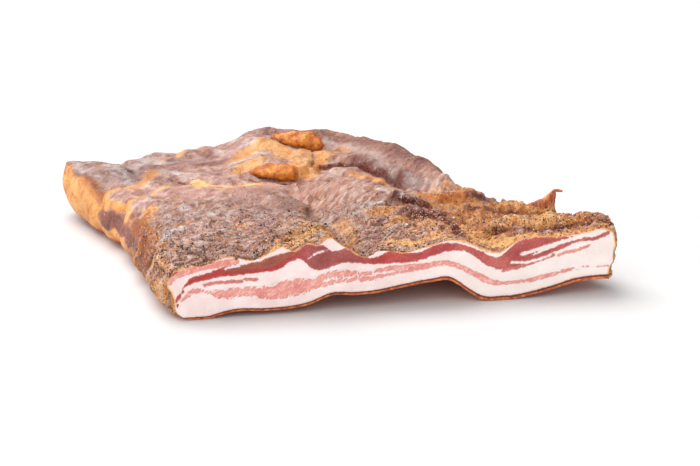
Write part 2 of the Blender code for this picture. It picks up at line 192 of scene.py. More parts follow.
# The lean on the cut: the lower and upper edges of its two long streaks, as (along, height)
LOWER_LEAN = (
    [
        (4, 10), (10, 13.5), (15.5, 16), (23, 14.5), (29, 12), (47.5, 12), (52.5, 10.5),
        (69.5, 10), (78.5, 11.5), (91, 15.5), (102, 17), (120.5, 17.2), (131, 19.4),
        (143, 21.2), (153, 22.6), (166.5, 24), (180, 18), (190, 11.5), (212, 10), (228.5, 12),
        (240, 15), (270, 18),
    ],
    [
        (4, 12), (11, 18), (25.5, 17.5), (38, 18.5), (57.5, 18.5), (73.5, 22), (85.5, 21.5),
        (92.5, 24.5), (101.5, 25.5), (116.5, 23.5), (130.5, 26), (153.5, 26.5), (165.5, 27.5),
        (174, 24.5), (187.5, 17.5), (198, 12.5), (212, 12), (231, 15.5), (240, 16.2), (270, 15),
    ],
)
UPPER_LEAN = (
    [
        (4, 16), (8.5, 20), (21, 24), (43, 26), (62.5, 27.5), (78.5, 32.5), (83.5, 27.5), (102.5, 29.5),
        (123.5, 27.5), (150.5, 28.5), (166.5, 33), (177.5, 32), (192.5, 22), (202.5, 19), (212, 21.5),
        (220, 28), (232, 33), (244, 36.4), (252, 39.5), (270, 42),
    ],
    [
        (4, 15), (11, 24.5), (21.5, 28), (32.5, 31.5), (45.5, 32.5), (57, 35.6), (71, 38.6), (76, 40),
        (81, 42.4), (88, 41.2), (91.5, 40.8), (94, 38.8), (96, 37.4), (99, 37.2), (103, 38.6),
        (108, 37.4), (112.5, 35.4), (117, 32.2), (122.5, 32), (128.5, 34.5), (151, 34),
        (156.5, 36.5), (170.5, 38), (186, 32.5), (197.5, 27.5), (211, 37), (219.5, 38.5),
        (237.5, 38), (252, 38), (270, 38),
    ],
)

# Smaller streaks of lean on the cut, and of fat within its lean. Tone is 0 for pale pink, 1 for red.
Streak = namedtuple("Streak", "path half_width tone")
SMALL_LEAN = {
    "strip under the crust": Streak(
        [(0, 24), (2, 27), (9.5, 29.7), (19, 32), (29, 33.4), (39, 34.4)], 1.9, 0.15,
    ),
    "island on the left": Streak([(20, 21), (26, 22), (34, 22), (42, 22)], 1.1, 0.5),
    "island beside it": Streak([(44, 23), (51, 22.5)], 0.8, 0.5),
    "hook at the left end": Streak([(5, 8), (3.6, 12.5), (7.5, 17.5)], 1.0, 0.9),
    "blob under the lower streak": Streak([(67, 10.4), (73, 11.4)], 1.3, 0.1),
    "second streak on the right": Streak(
        [(213, 24.6), (224.5, 27), (233, 30), (247, 35.4)], 1.5, 0.85,
    ),
    "third streak on the right": Streak([(201, 18.6), (211, 20.4), (220, 22.6), (233, 27)], 1.1, 0.6),
    "third streak further on": Streak([(236, 26.5), (241, 28), (248, 29), (255, 31.2)], 0.9, 0.25),
    "red streak at the right end": Streak([(249, 36), (257, 35.3), (262, 36.8), (267, 39)], 1.2, 0.8),
    "first dash": Streak([(238, 16.4), (246, 17.2)], 0.6, 0.1),
    "second dash": Streak([(252, 18), (255.5, 18)], 0.5, 0.1),
    "third dash": Streak([(261, 17.5), (268, 17.8)], 0.5, 0.1),
}
SMALL_FAT = {
    "flecks in the red": Streak([(33, 30.6), (41, 31.4)], 0.7, 0),
    "strip over the brown lean": Streak([(43.5, 33.3), (53.5, 34.6), (60, 37.4), (70, 40.4)], 0.8, 0),
    "streak beside the lump": Streak([(82, 33.6), (87.3, 36.8), (93, 38.2)], 0.4, 0),
    "lump at the peak": Streak([(95.8, 42.8), (97, 43.2), (99.3, 41)], 2.3, 0),
    "flecks at the dip": Streak([(113, 35.2), (121, 32.6), (128, 35.4)], 1.0, 0),
    "long gap on the right": Streak(
        [(213, 28.4), (224.5, 31.4), (233.5, 33.8), (244, 36), (250, 37.2)], 1.1, 0,
    ),
    "gap in the lower streak": Streak(
        [(90, 18.6), (98, 20), (108, 20.4), (118, 20.6), (130, 22.2), (142, 23.2)], 0.2, 0,
    ),
    "second gap on the right": Streak([(207, 23.6), (216, 22.9), (225, 24.8), (231, 27.2)], 0.7, 0),
}

# The lean lies this much lower than the fat on the cut
LEAN_RECESS = 0.3

# The dark line of the rind on the cut is thinner at the left: positions along the cut, and how much
RIND_LINE_SQUEEZE = ((0, 100, 170, 270), (1.5, 1.3, 1.0, 0.85))

# Patches on the crust: a path in the plan, how far the patch reaches from it, and how strong it is.
# Fat is tan and smoked, and bare fat paler. Amber fat is deep orange. The dark patches are wet
# meat, and painted shade in the cracks, the hollows and under the flap and the ledges. The white
# patches are bloom, and painted highlights and sheen. The brown patches are smoke, and painted
# shade over the crack, in the seam and at the right end.
Patch = namedtuple("Patch", "path reach amount")
FAT_PATCHES = {
    "behind the flaps": Patch(
        [(68, 214), (76, 228), (92, 236), (100, 221), (109, 204), (110, 178)], 16, 1,
    ),
    "behind the front flap": Patch([(66, 188), (78, 194), (92, 200)], 13, 0.95),
    "right of the front flap": Patch([(115, 184), (130, 218), (138, 226)], 9, 0.9),
    "light streak": Patch([(142, 242), (149, 232)], 6, 0.9),
    "fold beside the lump": Patch([(125, 214), (133, 226)], 6, 0.9),
    "left rim": Patch([(-54, 232), (-45, 202), (-36, 178), (-29, 156)], 7, 0.9),
    "blotch on the middle lobe": Patch([(140, 167), (145, 158)], 9, 0.8),
    "right side of the middle lobe": Patch([(144, 170), (151, 152), (158, 144)], 6, 0.75),
    "low on the middle lobe": Patch([(134, 74), (148, 76), (162, 71)], 9, 1),
    "front of the middle lobe": Patch([(142, 47), (151, 48), (162, 52)], 9, 0.7),
    "between the lobe and the lump": Patch([(136, 19), (148, 12), (162, 14)], 12, 0.95),
    "peppered slope by the seam": Patch([(74, 20), (84, 28), (95, 43), (103, 47)], 15, 1),
    "floor of the seam": Patch([(96, 0), (112, 30), (113, 70)], 13, 0.9),
    "edge over the brown lean": Patch([(55, 0), (68, 0), (88, 14)], 6, 1),
    "edge at the left": Patch([(3, 0), (30, 0), (66, 0)], 3.4, 0.9),
    "strip behind the big muscle": Patch(
        [(30, 166), (38, 156), (48, 152), (60, 151), (70, 157)], 9.5, 1.2,
    ),
    "arc on the shoulder": Patch([(9, 70), (17, 75), (28, 73)], 3.4, 0.8),
    "spot on the big muscle": Patch([(44, 51), (50, 46)], 4, 0.7),
    "spot at the left": Patch([(-12, 164), (-4, 175), (5, 202)], 9, 0.9),
    "low at the left": Patch([(-4, 115), (-11, 109), (-8, 78), (-4, 50)], 10, 1),
    "line at the left": Patch([(-27, 168), (-20, 166), (-14, 165)], 3.6, 1),
    "line behind the shoulder": Patch(
        [(-16, 143), (-7, 141), (3, 155), (11, 162), (20, 177)], 3.6, 0.85,
    ),
    "at the back edge": Patch([(12, 230), (20, 240), (30, 252)], 5, 0.8),
    "bright patch on the right": Patch([(175, 100), (188, 95), (206, 96)], 9, 1),
    "brown patch on the right": Patch([(177, 87), (192, 85), (201, 71)], 12, 0.8),
    "band on the middle ridge": Patch([(213, 66), (225, 63), (237, 64)], 7, 0.9),
    "band before it": Patch([(186, 68), (199, 61), (217, 61), (235, 58)], 8, 0.8),
    "pale patch on the front ridge": Patch([(211, 53), (213, 26), (223, 23)], 9, 1),
    "peppered front ridge": Patch([(228, 21), (239, 19), (251, 16)], 8, 0.9),
    "band above the cut": Patch([(185, 8), (190, 12), (202, 9), (213, 2), (224, 0)], 9, 1.4),
    "edge at the right": Patch([(225, 2), (243, 3), (258, 0), (271, 8)], 4.5, 0.9),
    "tan ground on the right": Patch([(186, 30), (215, 60), (250, 35)], 60, 0.74),
    "ground behind it": Patch([(196, 110), (206, 70)], 34, 0.6),
}
BARE_PATCHES = {
    "over the cut at the right": Patch([(188, 10), (202, 8), (213, 2), (224, 0)], 8, 1.2),
    "between the lobe and the lump": Patch([(136, 16), (148, 12), (166, 6)], 12, 1.3),
    "slope by the seam": Patch([(66, 4), (84, 20), (97, 38)], 14, 1.2),
    "strip behind the big muscle": Patch([(30, 168), (40, 156), (52, 152), (66, 154)], 9, 1.1),
    "front ridge": Patch([(205, 28), (222, 25), (246, 20)], 9, 0.9),
    "middle ridge": Patch([(192, 50), (212, 60), (236, 62)], 8, 0.6),
}
AMBER_PATCHES = {
    "bright patch on the right": Patch([(175, 100), (188, 95), (208, 96)], 9, 1),
    "blotch on the middle lobe": Patch([(142, 172), (146, 166)], 6, 0.8),
    "at the end of the crack": Patch([(179, 118), (184, 109)], 6, 1.1),
    "left spot": Patch([(-12, 164), (-4, 175), (5, 202)], 8, 0.7),
    "arc on the shoulder": Patch([(9, 70), (17, 75), (28, 73)], 4, 0.9),
    "beside the front flap": Patch([(118, 190), (124, 205)], 8, 0.7),
    "front ridge": Patch([(204, 24), (236, 20), (266, 14)], 16, 0.5),
}
# Dark glossy patches: wet meat on the lumps, and painted shade in the cracks, the seam, the split, the
# hollows, under the ledges and under the front flap
WET_AND_SHADE_PATCHES = {
    "top of the far lump": Patch([(157, 84), (164, 83), (172, 81)], 6, 1.2),
    "near lump": Patch([(156, 56), (167, 53), (178, 43)], 6, 1.2),
    "front of the near lump": Patch([(171, 32), (177, 24), (176, 15)], 6, 1.2),
    "notch of the big muscle": Patch([(87, 68), (91, 58)], 5, 1.1),
    "crack before the back lobe": Patch(
        [
            (123, 198), (136, 202), (151, 199), (158, 187), (163, 170), (166, 151), (174, 140),
            (181, 126),
        ],
        4.2, 0.95,
    ),
    "crack down to the lump": Patch([(165, 150), (171, 118), (182, 102), (196, 98)], 5, 0.8),
    "under the front flap": Patch([(66, 170), (81, 163), (98, 157)], 5, 0.9),
    "seam": Patch([(88, 98), (97, 88), (106, 62), (110, 45)], 6, 0.6),
    "split": Patch([(20, 178), (28, 165)], 5, 1),
    "hollow behind the front ridge": Patch([(210, 44), (240, 42), (262, 36)], 7, 0.7),
    "ledge over the cut": Patch(
        [(203, 23), (217, 15), (232, 13), (246, 12), (262, 12), (273, 12)], 6, 1.1,
    ),
    "second ridge": Patch([(196, 68), (212, 63), (226, 57)], 4.5, 0.9),
    "third ridge": Patch([(203, 93), (217, 88)], 5, 0.9),
    "fourth ridge": Patch([(223, 69), (238, 66)], 4.5, 0.9),
    "left of the front ridge": Patch([(196, 44), (204, 52), (203, 40)], 5, 0.8),
    "crest of the front ridge": Patch([(242, 25), (252, 23), (264, 22), (274, 19)], 7, 0.7),
}
# White patches: bloom, and painted highlights and sheen on the lump tops, the lobes and the left back
BLOOM_AND_HIGHLIGHT_PATCHES = {
    "bright spot on the middle lobe": Patch([(136, 92), (143, 87)], 6, 1.2),
    "upper spot": Patch([(149, 121), (155, 112)], 6, 1),
    "left spot on the lobe": Patch([(122, 82), (129, 78)], 6, 0.9),
    "shoulder": Patch([(-3, 56), (3, 63), (12, 67)], 7, 1.1),
    "behind the flap": Patch([(64, 205), (71, 203)], 7, 1),
    "further behind": Patch([(79, 215), (85, 215)], 6, 0.9),
    "back centre": Patch([(72, 242), (80, 238)], 8, 0.9),
    "back lobe": Patch([(137, 260), (145, 246), (155, 228), (164, 196), (168, 157)], 13, 0.7),
    "back lobe, lower": Patch([(174, 143), (185, 134), (194, 125)], 12, 0.7),
    "middle lobe": Patch([(117, 172), (132, 172), (138, 141), (128, 109), (129, 74)], 16, 0.5),
    "left corner": Patch([(-47, 228), (-42, 222)], 8, 0.8),
    "left corner, second": Patch([(-36, 196), (-34, 192)], 6, 0.8),
    "left corner, third": Patch([(-24, 200), (-21, 196)], 6, 0.8),
    "left corner, inner": Patch([(-28, 226), (-15, 203), (-13, 173)], 9, 0.8),
    "left back": Patch([(-10, 211), (3, 245), (15, 227)], 12, 0.8),
    "whole left back": Patch([(-44, 226), (-20, 196), (-4, 160), (6, 120), (4, 84)], 30, 0.35),
    "top of the far lump": Patch([(158, 87), (164, 86)], 4, 0.9),
    "top of the near lump": Patch([(162, 62), (173, 72)], 6, 1),
    "back of the left": Patch([(24, 226), (40, 240), (56, 244)], 16, 0.5),
    "flecks in the front": Patch([(14, 30), (40, 40), (64, 60)], 26, 0.3),
    "left back, inner": Patch([(13, 202), (27, 191)], 10, 0.8),
    "low at the left": Patch([(-8, 53), (-6, 34), (2, 16)], 6, 0.7),
    "on the big muscle": Patch([(16, 109), (20, 106)], 6, 0.9),
    "middle of the big muscle": Patch([(26, 88), (48, 72), (70, 74)], 22, 0.55),
    "behind the shoulder": Patch([(-4, 129), (0, 127)], 5, 0.9),
    "left shoulder": Patch([(-16, 137), (-10, 122)], 8, 0.7),
    "seam": Patch([(106, 87), (110, 66), (116, 19)], 6, 0.6),
}
# Brown patches: smoke staining and dark lumps, and painted shade over the crack, in the seam and in the
# hollows of the right end
SMOKE_AND_SHADE_PATCHES = {
    "back lobe": Patch([(130, 270), (160, 246), (180, 205), (190, 160)], 40, 0.75),
    "right end": Patch([(180, 80), (215, 60), (262, 30)], 40, 0.4),
    "front ridge": Patch([(206, 16), (240, 14), (274, 12)], 9, 0.7),
    "middle lobe, front": Patch([(128, 30), (150, 60)], 24, 0.3),
    "seam": Patch([(96, 92), (104, 66), (112, 44), (120, 12)], 10, 0.6),
    "back mound": Patch([(80, 276), (110, 270)], 20, 0.6),
    "over the crack": Patch([(150, 204), (160, 194), (163, 173), (168, 155), (180, 138)], 10, 1.2),
    "behind the flaps": Patch([(66, 190), (76, 226), (98, 216)], 20, 0.3),
    "left back": Patch([(-30, 200), (-8, 200), (10, 220), (40, 230)], 34, 0.6),
    "red part at the back": Patch([(40, 216), (54, 214), (60, 220)], 13, 0.85),
    "dark spot at the left": Patch([(-13, 209), (-9, 207)], 5, 1.3),
    "dark spot on the shoulder": Patch([(-14, 124), (-11, 121)], 4, 1.1),
    "rim at the left": Patch([(-48, 224), (-38, 188), (-31, 172)], 5, 0.9),
    "far lump": Patch([(154, 87), (162, 85), (171, 82)], 7.5, 1.1),
    "near lump": Patch([(156, 61), (168, 57), (179, 46)], 10, 1),
    "third lump": Patch([(171, 34), (178, 23), (176, 12)], 8, 1),
    "right of the lumps": Patch([(184, 60), (192, 44), (196, 30)], 9, 0.8),
    "low tan at the left": Patch([(-13, 112), (-10, 84), (-7, 50)], 13, 0.85),
    "big muscle, behind": Patch([(54, 134), (74, 124), (88, 108), (84, 94)], 22, 0.5),
}

# The lean that shows low on the left side: how far back it starts and ends
PURPLE_SIDE = (20, 176)

# Where the crust changes on its way back from the cut: from nothing at the first distance to all
# at the second
BEHIND = (55, 100)
NEAR = (160, 70)
PEPPERED = (150, 15)
WRINKLED = (130, 30)
CRAGGY = (150, 90)
SMOOTH = (60, 110)

# The same along the cut: the crags at the right, the wrinkles left of them, the fibres of the lobe
CRAGGY_ALONG = (140, 190)
WRINKLED_ALONG = (215, 110)
FIBROUS_ALONG = (92, 112)

# How upright the surface is where it counts as a side, as the height of its normal
STEEP = (0.86, 0.4)
STEEP_NEAR_RIM = (26, 15)
PEPPER_SHARE = 0.72

PEPPER_PATCHES = {
    "slope by the seam": Patch([(64, 8), (84, 24), (98, 44), (91, 66)], 18, 1.1),
    "right of the seam": Patch([(114, 14), (128, 6), (150, 6)], 14, 0.7),
    "low at the left": Patch([(-10, 100), (-6, 34), (2, 12)], 14, 0.75),
    "dip before the right ridge": Patch([(172, 18), (188, 14)], 12, 0.6),
    "lumps and ridges on the right": Patch([(150, 60), (180, 36), (222, 32), (270, 22)], 30, 0.7),
}

# Narrow cracks in the crust, whose amount is their depth in millimetres
CRACKS = {
    "before the back lobe": Patch(
        [(116, 190), (130, 193), (142, 195), (151, 192), (158, 172), (164, 150)], 3, 2.4,
    ),
    "before the back lobe, lower": Patch(
        [(164, 150), (168, 126), (180, 106), (198, 99), (212, 98)], 3, 1.8,
    ),
    "split behind the big muscle": Patch([(18, 180), (27, 167), (36, 160)], 2.4, 2),
    "under the front flap": Patch([(64, 172), (78, 164), (92, 159), (106, 164)], 3, 2.2),
    "left of the front flap": Patch([(104, 162), (108, 140), (104, 116)], 3, 1.2),
    "seam": Patch([(104, 116), (98, 92), (104, 66), (112, 44), (122, 20), (119, 4)], 3, 1.5),
    "right of the seam": Patch([(118, 96), (124, 70), (130, 42), (128, 18)], 2.6, 1),
    "across the shoulder": Patch([(8, 68), (18, 72), (30, 70)], 2.2, 0.8),
    "front ledge": Patch([(196, 20), (208, 13), (222, 10), (240, 9), (256, 6), (272, 9)], 3, 2.2),
    "over the front ledge": Patch([(204, 34), (226, 30), (250, 28), (270, 25)], 2.4, 1.2),
    "behind the front ridge": Patch([(200, 50), (222, 45), (246, 44), (262, 39)], 3.2, 1.8),
    "middle ridge": Patch([(186, 62), (206, 57), (228, 54), (246, 50)], 2.6, 1.6),
    "behind the middle ridge": Patch([(190, 78), (208, 75), (226, 72)], 2.8, 1.6),
    "before the far lump": Patch([(149, 82), (160, 77), (176, 76)], 2.8, 2),
    "before the near lump": Patch([(154, 52), (166, 49), (178, 38), (184, 30)], 2.8, 2),
    "behind the near lump": Patch([(158, 68), (172, 64), (184, 50), (192, 34)], 2.8, 1.6),
}

# Ledges, where one layer of the crust lies over another: the left side of the path stands up by the
# rise, and the right side drops away by the drop
Ledge = namedtuple("Ledge", "path rise drop")
LEDGES = {
    "back lobe over the middle lobe": Ledge(
        [
            (212, 98), (196, 100), (180, 107), (168, 127), (163, 152), (158, 174), (151, 194),
            (142, 197), (130, 195), (116, 192),
        ],
        1.8, 2.6,
    ),
    "big muscle beside the seam": Ledge(
        [(112, 22), (103, 46), (97, 70), (96, 92), (102, 118), (106, 142)], 1.8, 1.2,
    ),
    "middle lobe over the seam": Ledge([(120, 120), (122, 98), (124, 76), (130, 50)], 0.9, 0.8),
    "strip behind the big muscle": Ledge([(70, 157), (54, 154), (38, 158), (24, 172)], 1.0, 1.4),
    "front ridge over the cut": Ledge(
        [(274, 11), (256, 9.5), (240, 11), (222, 12.5), (207, 16), (197, 23)], 2.6, 2.0,
    ),
    "second step of the front ridge": Ledge([(272, 21), (250, 22), (228, 24), (210, 31)], 1.0, 0.7),
    "middle ridge": Ledge([(250, 52), (228, 55), (206, 58), (188, 64)], 2.2, 1.8),
    "back of the middle ridge": Ledge([(226, 74), (208, 77), (190, 80)], 1.1, 1.0),
    "far lump": Ledge([(176, 78), (168, 79), (158, 81), (149, 86)], 2.2, 2.0),
    "near lump": Ledge([(184, 40), (174, 50), (165, 53), (154, 56)], 2.2, 1.8),
    "third lump": Ledge([(182, 14), (178, 22), (172, 29), (166, 33)], 2.0, 1.6),
    "left flank": Ledge([(-4, 66), (-6, 92), (-11, 118), (-20, 146)], 0.8, 0.5),
    "shoulder": Ledge([(32, 70), (18, 73), (6, 68), (-1, 56)], 0.7, 0.6),
    "left corner": Ledge([(0, 208), (-8, 190), (-20, 178), (-30, 172)], 0.8, 0.7),
}
LEDGE_TOP, LEDGE_FOOT = 6.0, 2.4

# Lumps of the crust, as (feature size, height at the back, how much more near the cut)
LUMPS = ((12, 0.8, 0.3), (4.2, 0.2, 0.5))
GRIT = (1.7, 0.05, 0.35)
CRAGGY_GAIN = 1.3
SMOOTH_LOSS = 0.65

# Relief of the rind and of the cut, as (feature size, height), and how much of the crust's relief
# is left where the crust meets them
RIND_RELIEF = (7, 0.25)
CUT_RELIEF = (1.6, 0.12)
AT_CUT, AT_RIND = 0.5, 0.2

# Folds and ridges along the fibres, as (length, width, height)
FIBRE_FOLDS = (24, 7, 1.6)
FIBRE_RIDGES = (20, 3.4, 0.8)

# The cracks and ledges wander this far off their paths, over this distance
WANDER, WANDER_LENGTH = 1.4, 8

# Fine wrinkles run along the cut and turn back along the left side, in the front of the big muscle
WRINKLE_WIDTH = 6.0
WRINKLE_LENGTH = 26.0
WRINKLE_HEIGHT = 1.5
WRINKLE_SHARPNESS = 4
LEFT_SIDE_SQUEEZE = 1.6

FIBRE_ANGLE = np.radians(50)


def curve(points):
    """A smooth function through the points, with its slopes taken from the neighbours."""
    at, values = np.array(points, float).T
    slopes = np.gradient(values, at)

    def read(x):
        x = np.clip(x, at[0], at[-1])
        i = np.clip(np.searchsorted(at, x) - 1, 0, len(at) - 2)
        span = at[i + 1] - at[i]
        t = (x - at[i]) / span
        ease = t * t * (3 - 2 * t)
        bend = t * (1 - t) * ((1 - t) * slopes[i] - t * slopes[i + 1]) * span
        return values[i] * (1 - ease) + values[i + 1] * ease + bend

    return read


cut_top, cut_bottom = curve(CUT_TOP), curve(CUT_BOTTOM)
left_side, right_side, back_side = curve(LEFT_SIDE), curve(RIGHT_SIDE), curve(BACK_SIDE)
left_roll, right_roll = curve(LEFT_ROLL), curve(RIGHT_ROLL)
left_end, right_end = curve(CUT_LEFT_END), curve(CUT_RIGHT_END)
LEFT_DEPTH, RIGHT_DEPTH = LEFT_SIDE[-1][0], RIGHT_SIDE[-1][0]
BACK_LEFT, BACK_RIGHT = BACK_SIDE[0][0], BACK_SIDE[-1][0]


def waves(x, y, length, seed):
    """Seeded lumps of about this wavelength, mostly between -1 and 1."""
    draw = np.random.default_rng(seed)
    total = np.zeros(np.broadcast(x, y).shape)
    for heading, phase, stretch in draw.random((9, 3)):
        k = 2 * np.pi / (length * (0.7 + 0.6 * stretch))
        turn = 2 * np.pi * heading
        total = total + np.sin(k * (x * np.cos(turn) + y * np.sin(turn)) + 2 * np.pi * phase)
    return total / 3


def plan_point(s, t):
    """The plan position for s along the cut and t back from it, from 0 to 1, by a Coons patch."""
    left = left_side(t * LEFT_DEPTH), t * LEFT_DEPTH
    right = right_side(t * RIGHT_DEPTH), t * RIGHT_DEPTH
    front = s * CUT_WIDTH, 0 * s
    back_x = BACK_LEFT + s * (BACK_RIGHT - BACK_LEFT)
    back = back_x, back_side(back_x)
    corners = ((0, 0), (CUT_WIDTH, 0), (BACK_LEFT, LEFT_DEPTH), (BACK_RIGHT, RIGHT_DEPTH))
    return [
        (1 - s) * left[i] + s * right[i] + (1 - t) * front[i] + t * back[i]
        - (1 - s) * (1 - t) * corners[0][i] - s * (1 - t) * corners[1][i]
        - (1 - s) * t * corners[2][i] - s * t * corners[3][i]
        for i in (0, 1)
    ]


def round_corner(a, b, radius):
    """Moves distances from two sides that meet, so that the corner between them is round."""
    p, q = np.clip(1 - a / radius, 0, 1), np.clip(1 - b / radius, 0, 1)
    more_a, more_b = p - p * np.sqrt(1 - q * q / 2), q - q * np.sqrt(1 - p * p / 2)
    return a + radius * more_a, b + radius * more_b


def place(s, t):
    """(x, y, distance to the left, right and back sides) on the slab for s and t from 0 to 1."""
    x0, _ = plan_point(0 * s, t)
    x1, _ = plan_point(0 * s + 1, t)
    _, y1 = plan_point(s, 0 * t + 1)
    wide, deep = x1 - x0, y1
    to_left, to_right, to_back = s * wide, (1 - s) * wide, (1 - t) * deep
    left_in, back_in = round_corner(to_left, to_back, BACK_CORNER_RADIUS)
    right_in, also_back = round_corner(to_right, back_in, BACK_CORNER_RADIUS)
    s = s + (left_in - to_left - right_in + to_right) / wide
    t = t - (also_back - to_back) / deep
    x, y = plan_point(s, t)
    ragged = OUTLINE_WAVE * waves(x, y, OUTLINE_WAVE_LENGTH, 5) * np.clip(y / OUTLINE_WAVE_FROM, 0, 1)
    x = x + ragged * (2 * s - 1) ** 5
    y = y + ragged * t ** 9
    return x, y, left_in, right_in, also_back


def roll(distance, reach):
    """How far round a quarter turn a point this near a side is, from 0 inside to 1 at the side."""
    n = np.clip(1 - distance / np.maximum(reach, 0.01), 0, 1)
    return 1 - np.sqrt(np.maximum(1 - n * n, 0))


def from_path(x, y, path):
    """The distance to a path, and its side: positive on the left of someone walking along it."""
    nearest = np.full(np.shape(x), np.inf)
    side = np.ones(np.shape(x))
    for (x0, y0), (x1, y1) in zip(path, path[1:]):
        dx, dy = x1 - x0, y1 - y0
        along = np.clip(((x - x0) * dx + (y - y0) * dy) / (dx * dx + dy * dy), 0, 1)
        px, py = x - x0 - along * dx, y - y0 - along * dy
        distance = np.hypot(px, py)
        side = np.where(distance < nearest, dx * py - dy * px, side)
        nearest = np.minimum(distance, nearest)
    return nearest, side


def fold_height(x, y, fold):
    distance, side = from_path(x, y, fold.path)
    reach = np.where(side > 0, fold.left, fold.right)
    return fold.rise * np.exp(-((distance / reach) ** 2))


def top_height(x, y, to_left, to_right, to_back):
    behind = 1 - np.exp(-y / FOLDS_FROM)
    edge = cut_top(np.clip(x + CUT_DRIFT * y, 0, CUT_WIDTH))
    height = MIDDLE_HEIGHT + (edge - MIDDLE_HEIGHT) * np.exp(-y / CUT_REACH)
    for fold in FOLDS.values():
        height = height + behind * fold_height(x, y, fold)
    for number, (length, size) in enumerate(SURFACE_WAVES):
        height = height + behind * size * waves(x, y, length, 11 + number)
    for distance, drop in ((to_left, left_roll(y)), (to_right, right_roll(y)), (to_back, BACK_ROLL)):
        height = height - drop * roll(distance, drop * ROLL_REACH)
    return height


def bottom_height(x, y, to_left, to_right, to_back):
    """The rind's underside: the arch of the cut, lower towards the back, with turned-up sides."""
    depth = np.clip(y / LEFT_DEPTH, 0, 1)
    height = np.maximum(cut_bottom(np.clip(x, 0, CUT_WIDTH)), 0) * (1 - ARCH_FADE * depth)
    behind = np.clip(y / UNDER_ROLL_FROM, 0, 1)
    for distance in (to_left, to_right, to_back):
        height = np.maximum(height, behind * UNDER_ROLL * roll(distance, UNDER_ROLL * ROLL_REACH))
    (corner_x, corner_y), lift, reach = LIFTED_CORNER
    return height + lift * np.exp(-(((x - corner_x) ** 2 + (y - corner_y) ** 2) / reach ** 2))


def skin(s, t, up):
    """Points on the slab for s along the cut, t back from it and up from the rind, from 0 to 1."""
    x, y, *sides = place(s, t)
    low, high = bottom_height(x, y, *sides), top_height(x, y, *sides)
    bulge = SIDE_BULGE * np.sin(np.pi * up) * np.clip(y / BULGE_REACH, 0, 1)
    at_cut = np.exp(-y / END_REACH)
    x = x + left_end(up) * at_cut * np.clip(1 - sides[0] / END_WIDTH, 0, 1) - bulge * (s < 0.001)
    x = x + right_end(up) * at_cut * np.clip(1 - sides[1] / END_WIDTH, 0, 1) + bulge * (s > 0.999)
    y = y + bulge * (t > 0.999)
    return np.column_stack((x, y, low + up * (high - low)))


def ease(value, low, high):
    """0 below low, 1 above high, and smooth between them. The two may come in either order."""
    t = np.clip((value - low) / (high - low), 0, 1)
    return t * t * (3 - 2 * t)


def grid(a, b):
    """Every pair of the values of a and b, with a running faster."""
    p, q = np.meshgrid(a, b)
    return p.ravel(), q.ravel()


def fill(loop, flat, edge_count):
    """Triangles inside a loop, the first points of a flat list, and through the points after it."""
    edges = [(i, (i + 1) % edge_count) for i in range(edge_count)]
    places = [Vector(p) for p in flat]
    _, _, faces, source, _, _ = geometry.delaunay_2d_cdt(places, edges, [], 1, 1e-6)
    return [[loop[source[corner][0]] for corner in face] for face in faces]


Skin = namedtuple("Skin", "points faces materials up top_faces")
CRUST, CUT, RIND = 0, 1, 2


def build_skin():
    """The slab's closed surface, as a grid on top, a wall round three sides, and two filled faces."""
    s = np.linspace(0, 1, SKIN_ALONG + 1)
    t = np.linspace(0, 1, SKIN_BACK + 1)
    t = t * (SKIN_CROWDING + (1 - SKIN_CROWDING) * t)
    up = np.linspace(0, 1, SKIN_UP + 1)
    columns, rows = len(s), len(t)
    top_s, top_t = grid(s, t)
    ring_s = np.concatenate((0 * t + 1, s[-2:0:-1], 0 * t))
    ring_t = np.concatenate((t, 0 * s[1:-1] + 1, t[::-1]))
    wall_s, wall_up = grid(ring_s, up[:-1])
    wall_t, _ = grid(ring_t, up[:-1])
    cut_s, cut_up = grid(np.linspace(0, 1, CUT_ALONG + 1)[1:-1], np.linspace(0, 1, CUT_UP + 1)[1:-1])
    rind_s, rind_t = grid(*[np.linspace(0, 1, RIND_STEPS + 1)[1:-1]] * 2)
    blocks = (
        (top_s, top_t, 0 * top_s + 1), (wall_s, wall_t, wall_up), (s[1:-1], 0 * s[1:-1], 0 * s[1:-1]),
        (cut_s, 0 * cut_s, cut_up), (rind_s, rind_t, 0 * rind_s),
    )
    ends = np.cumsum([len(block[0]) for block in blocks])
    all_s, all_t, all_up = (np.concatenate(axis) for axis in zip(*blocks))
    points = skin(all_s, all_t, all_up)

    top = np.arange(ends[0]).reshape(rows, columns)
    wall = np.arange(ends[0], ends[1]).reshape(SKIN_UP, len(ring_s))
    wall = np.vstack((wall, np.concatenate((top[:, -1], top[-1, -2:0:-1], top[::-1, 0]))))
    front = np.arange(ends[1], ends[2])
    inner_cut, inner_rind = np.arange(ends[2], ends[3]), np.arange(ends[3], ends[4])

    top_faces, side_faces = (
        np.stack((net[:-1, :-1], net[:-1, 1:], net[1:, 1:], net[1:, :-1]), -1).reshape(-1, 4)
        for net in (top, wall)
    )
    cut_loop = np.concatenate(([wall[0, -1]], front, wall[:, 0], top[0, -2:0:-1], wall[:0:-1, -1]))
    rind_loop = np.concatenate(([wall[0, -1]], front, wall[0, :-1]))
    cut_ids, rind_ids = np.concatenate((cut_loop, inner_cut)), np.concatenate((rind_loop, inner_rind))
    cut_faces = fill(cut_ids, points[cut_ids][:, (0, 2)], len(cut_loop))
    rind_faces = [face[::-1] for face in fill(rind_ids, points[rind_ids][:, :2], len(rind_loop))]
    faces = [*top_faces.tolist(), *side_faces.tolist(), *cut_faces, *rind_faces]
    counts = len(top_faces) + len(side_faces), len(cut_faces), len(rind_faces)
    materials = np.repeat((CRUST, CUT, RIND), counts)
    return Skin(points, faces, materials, all_up, top_faces)


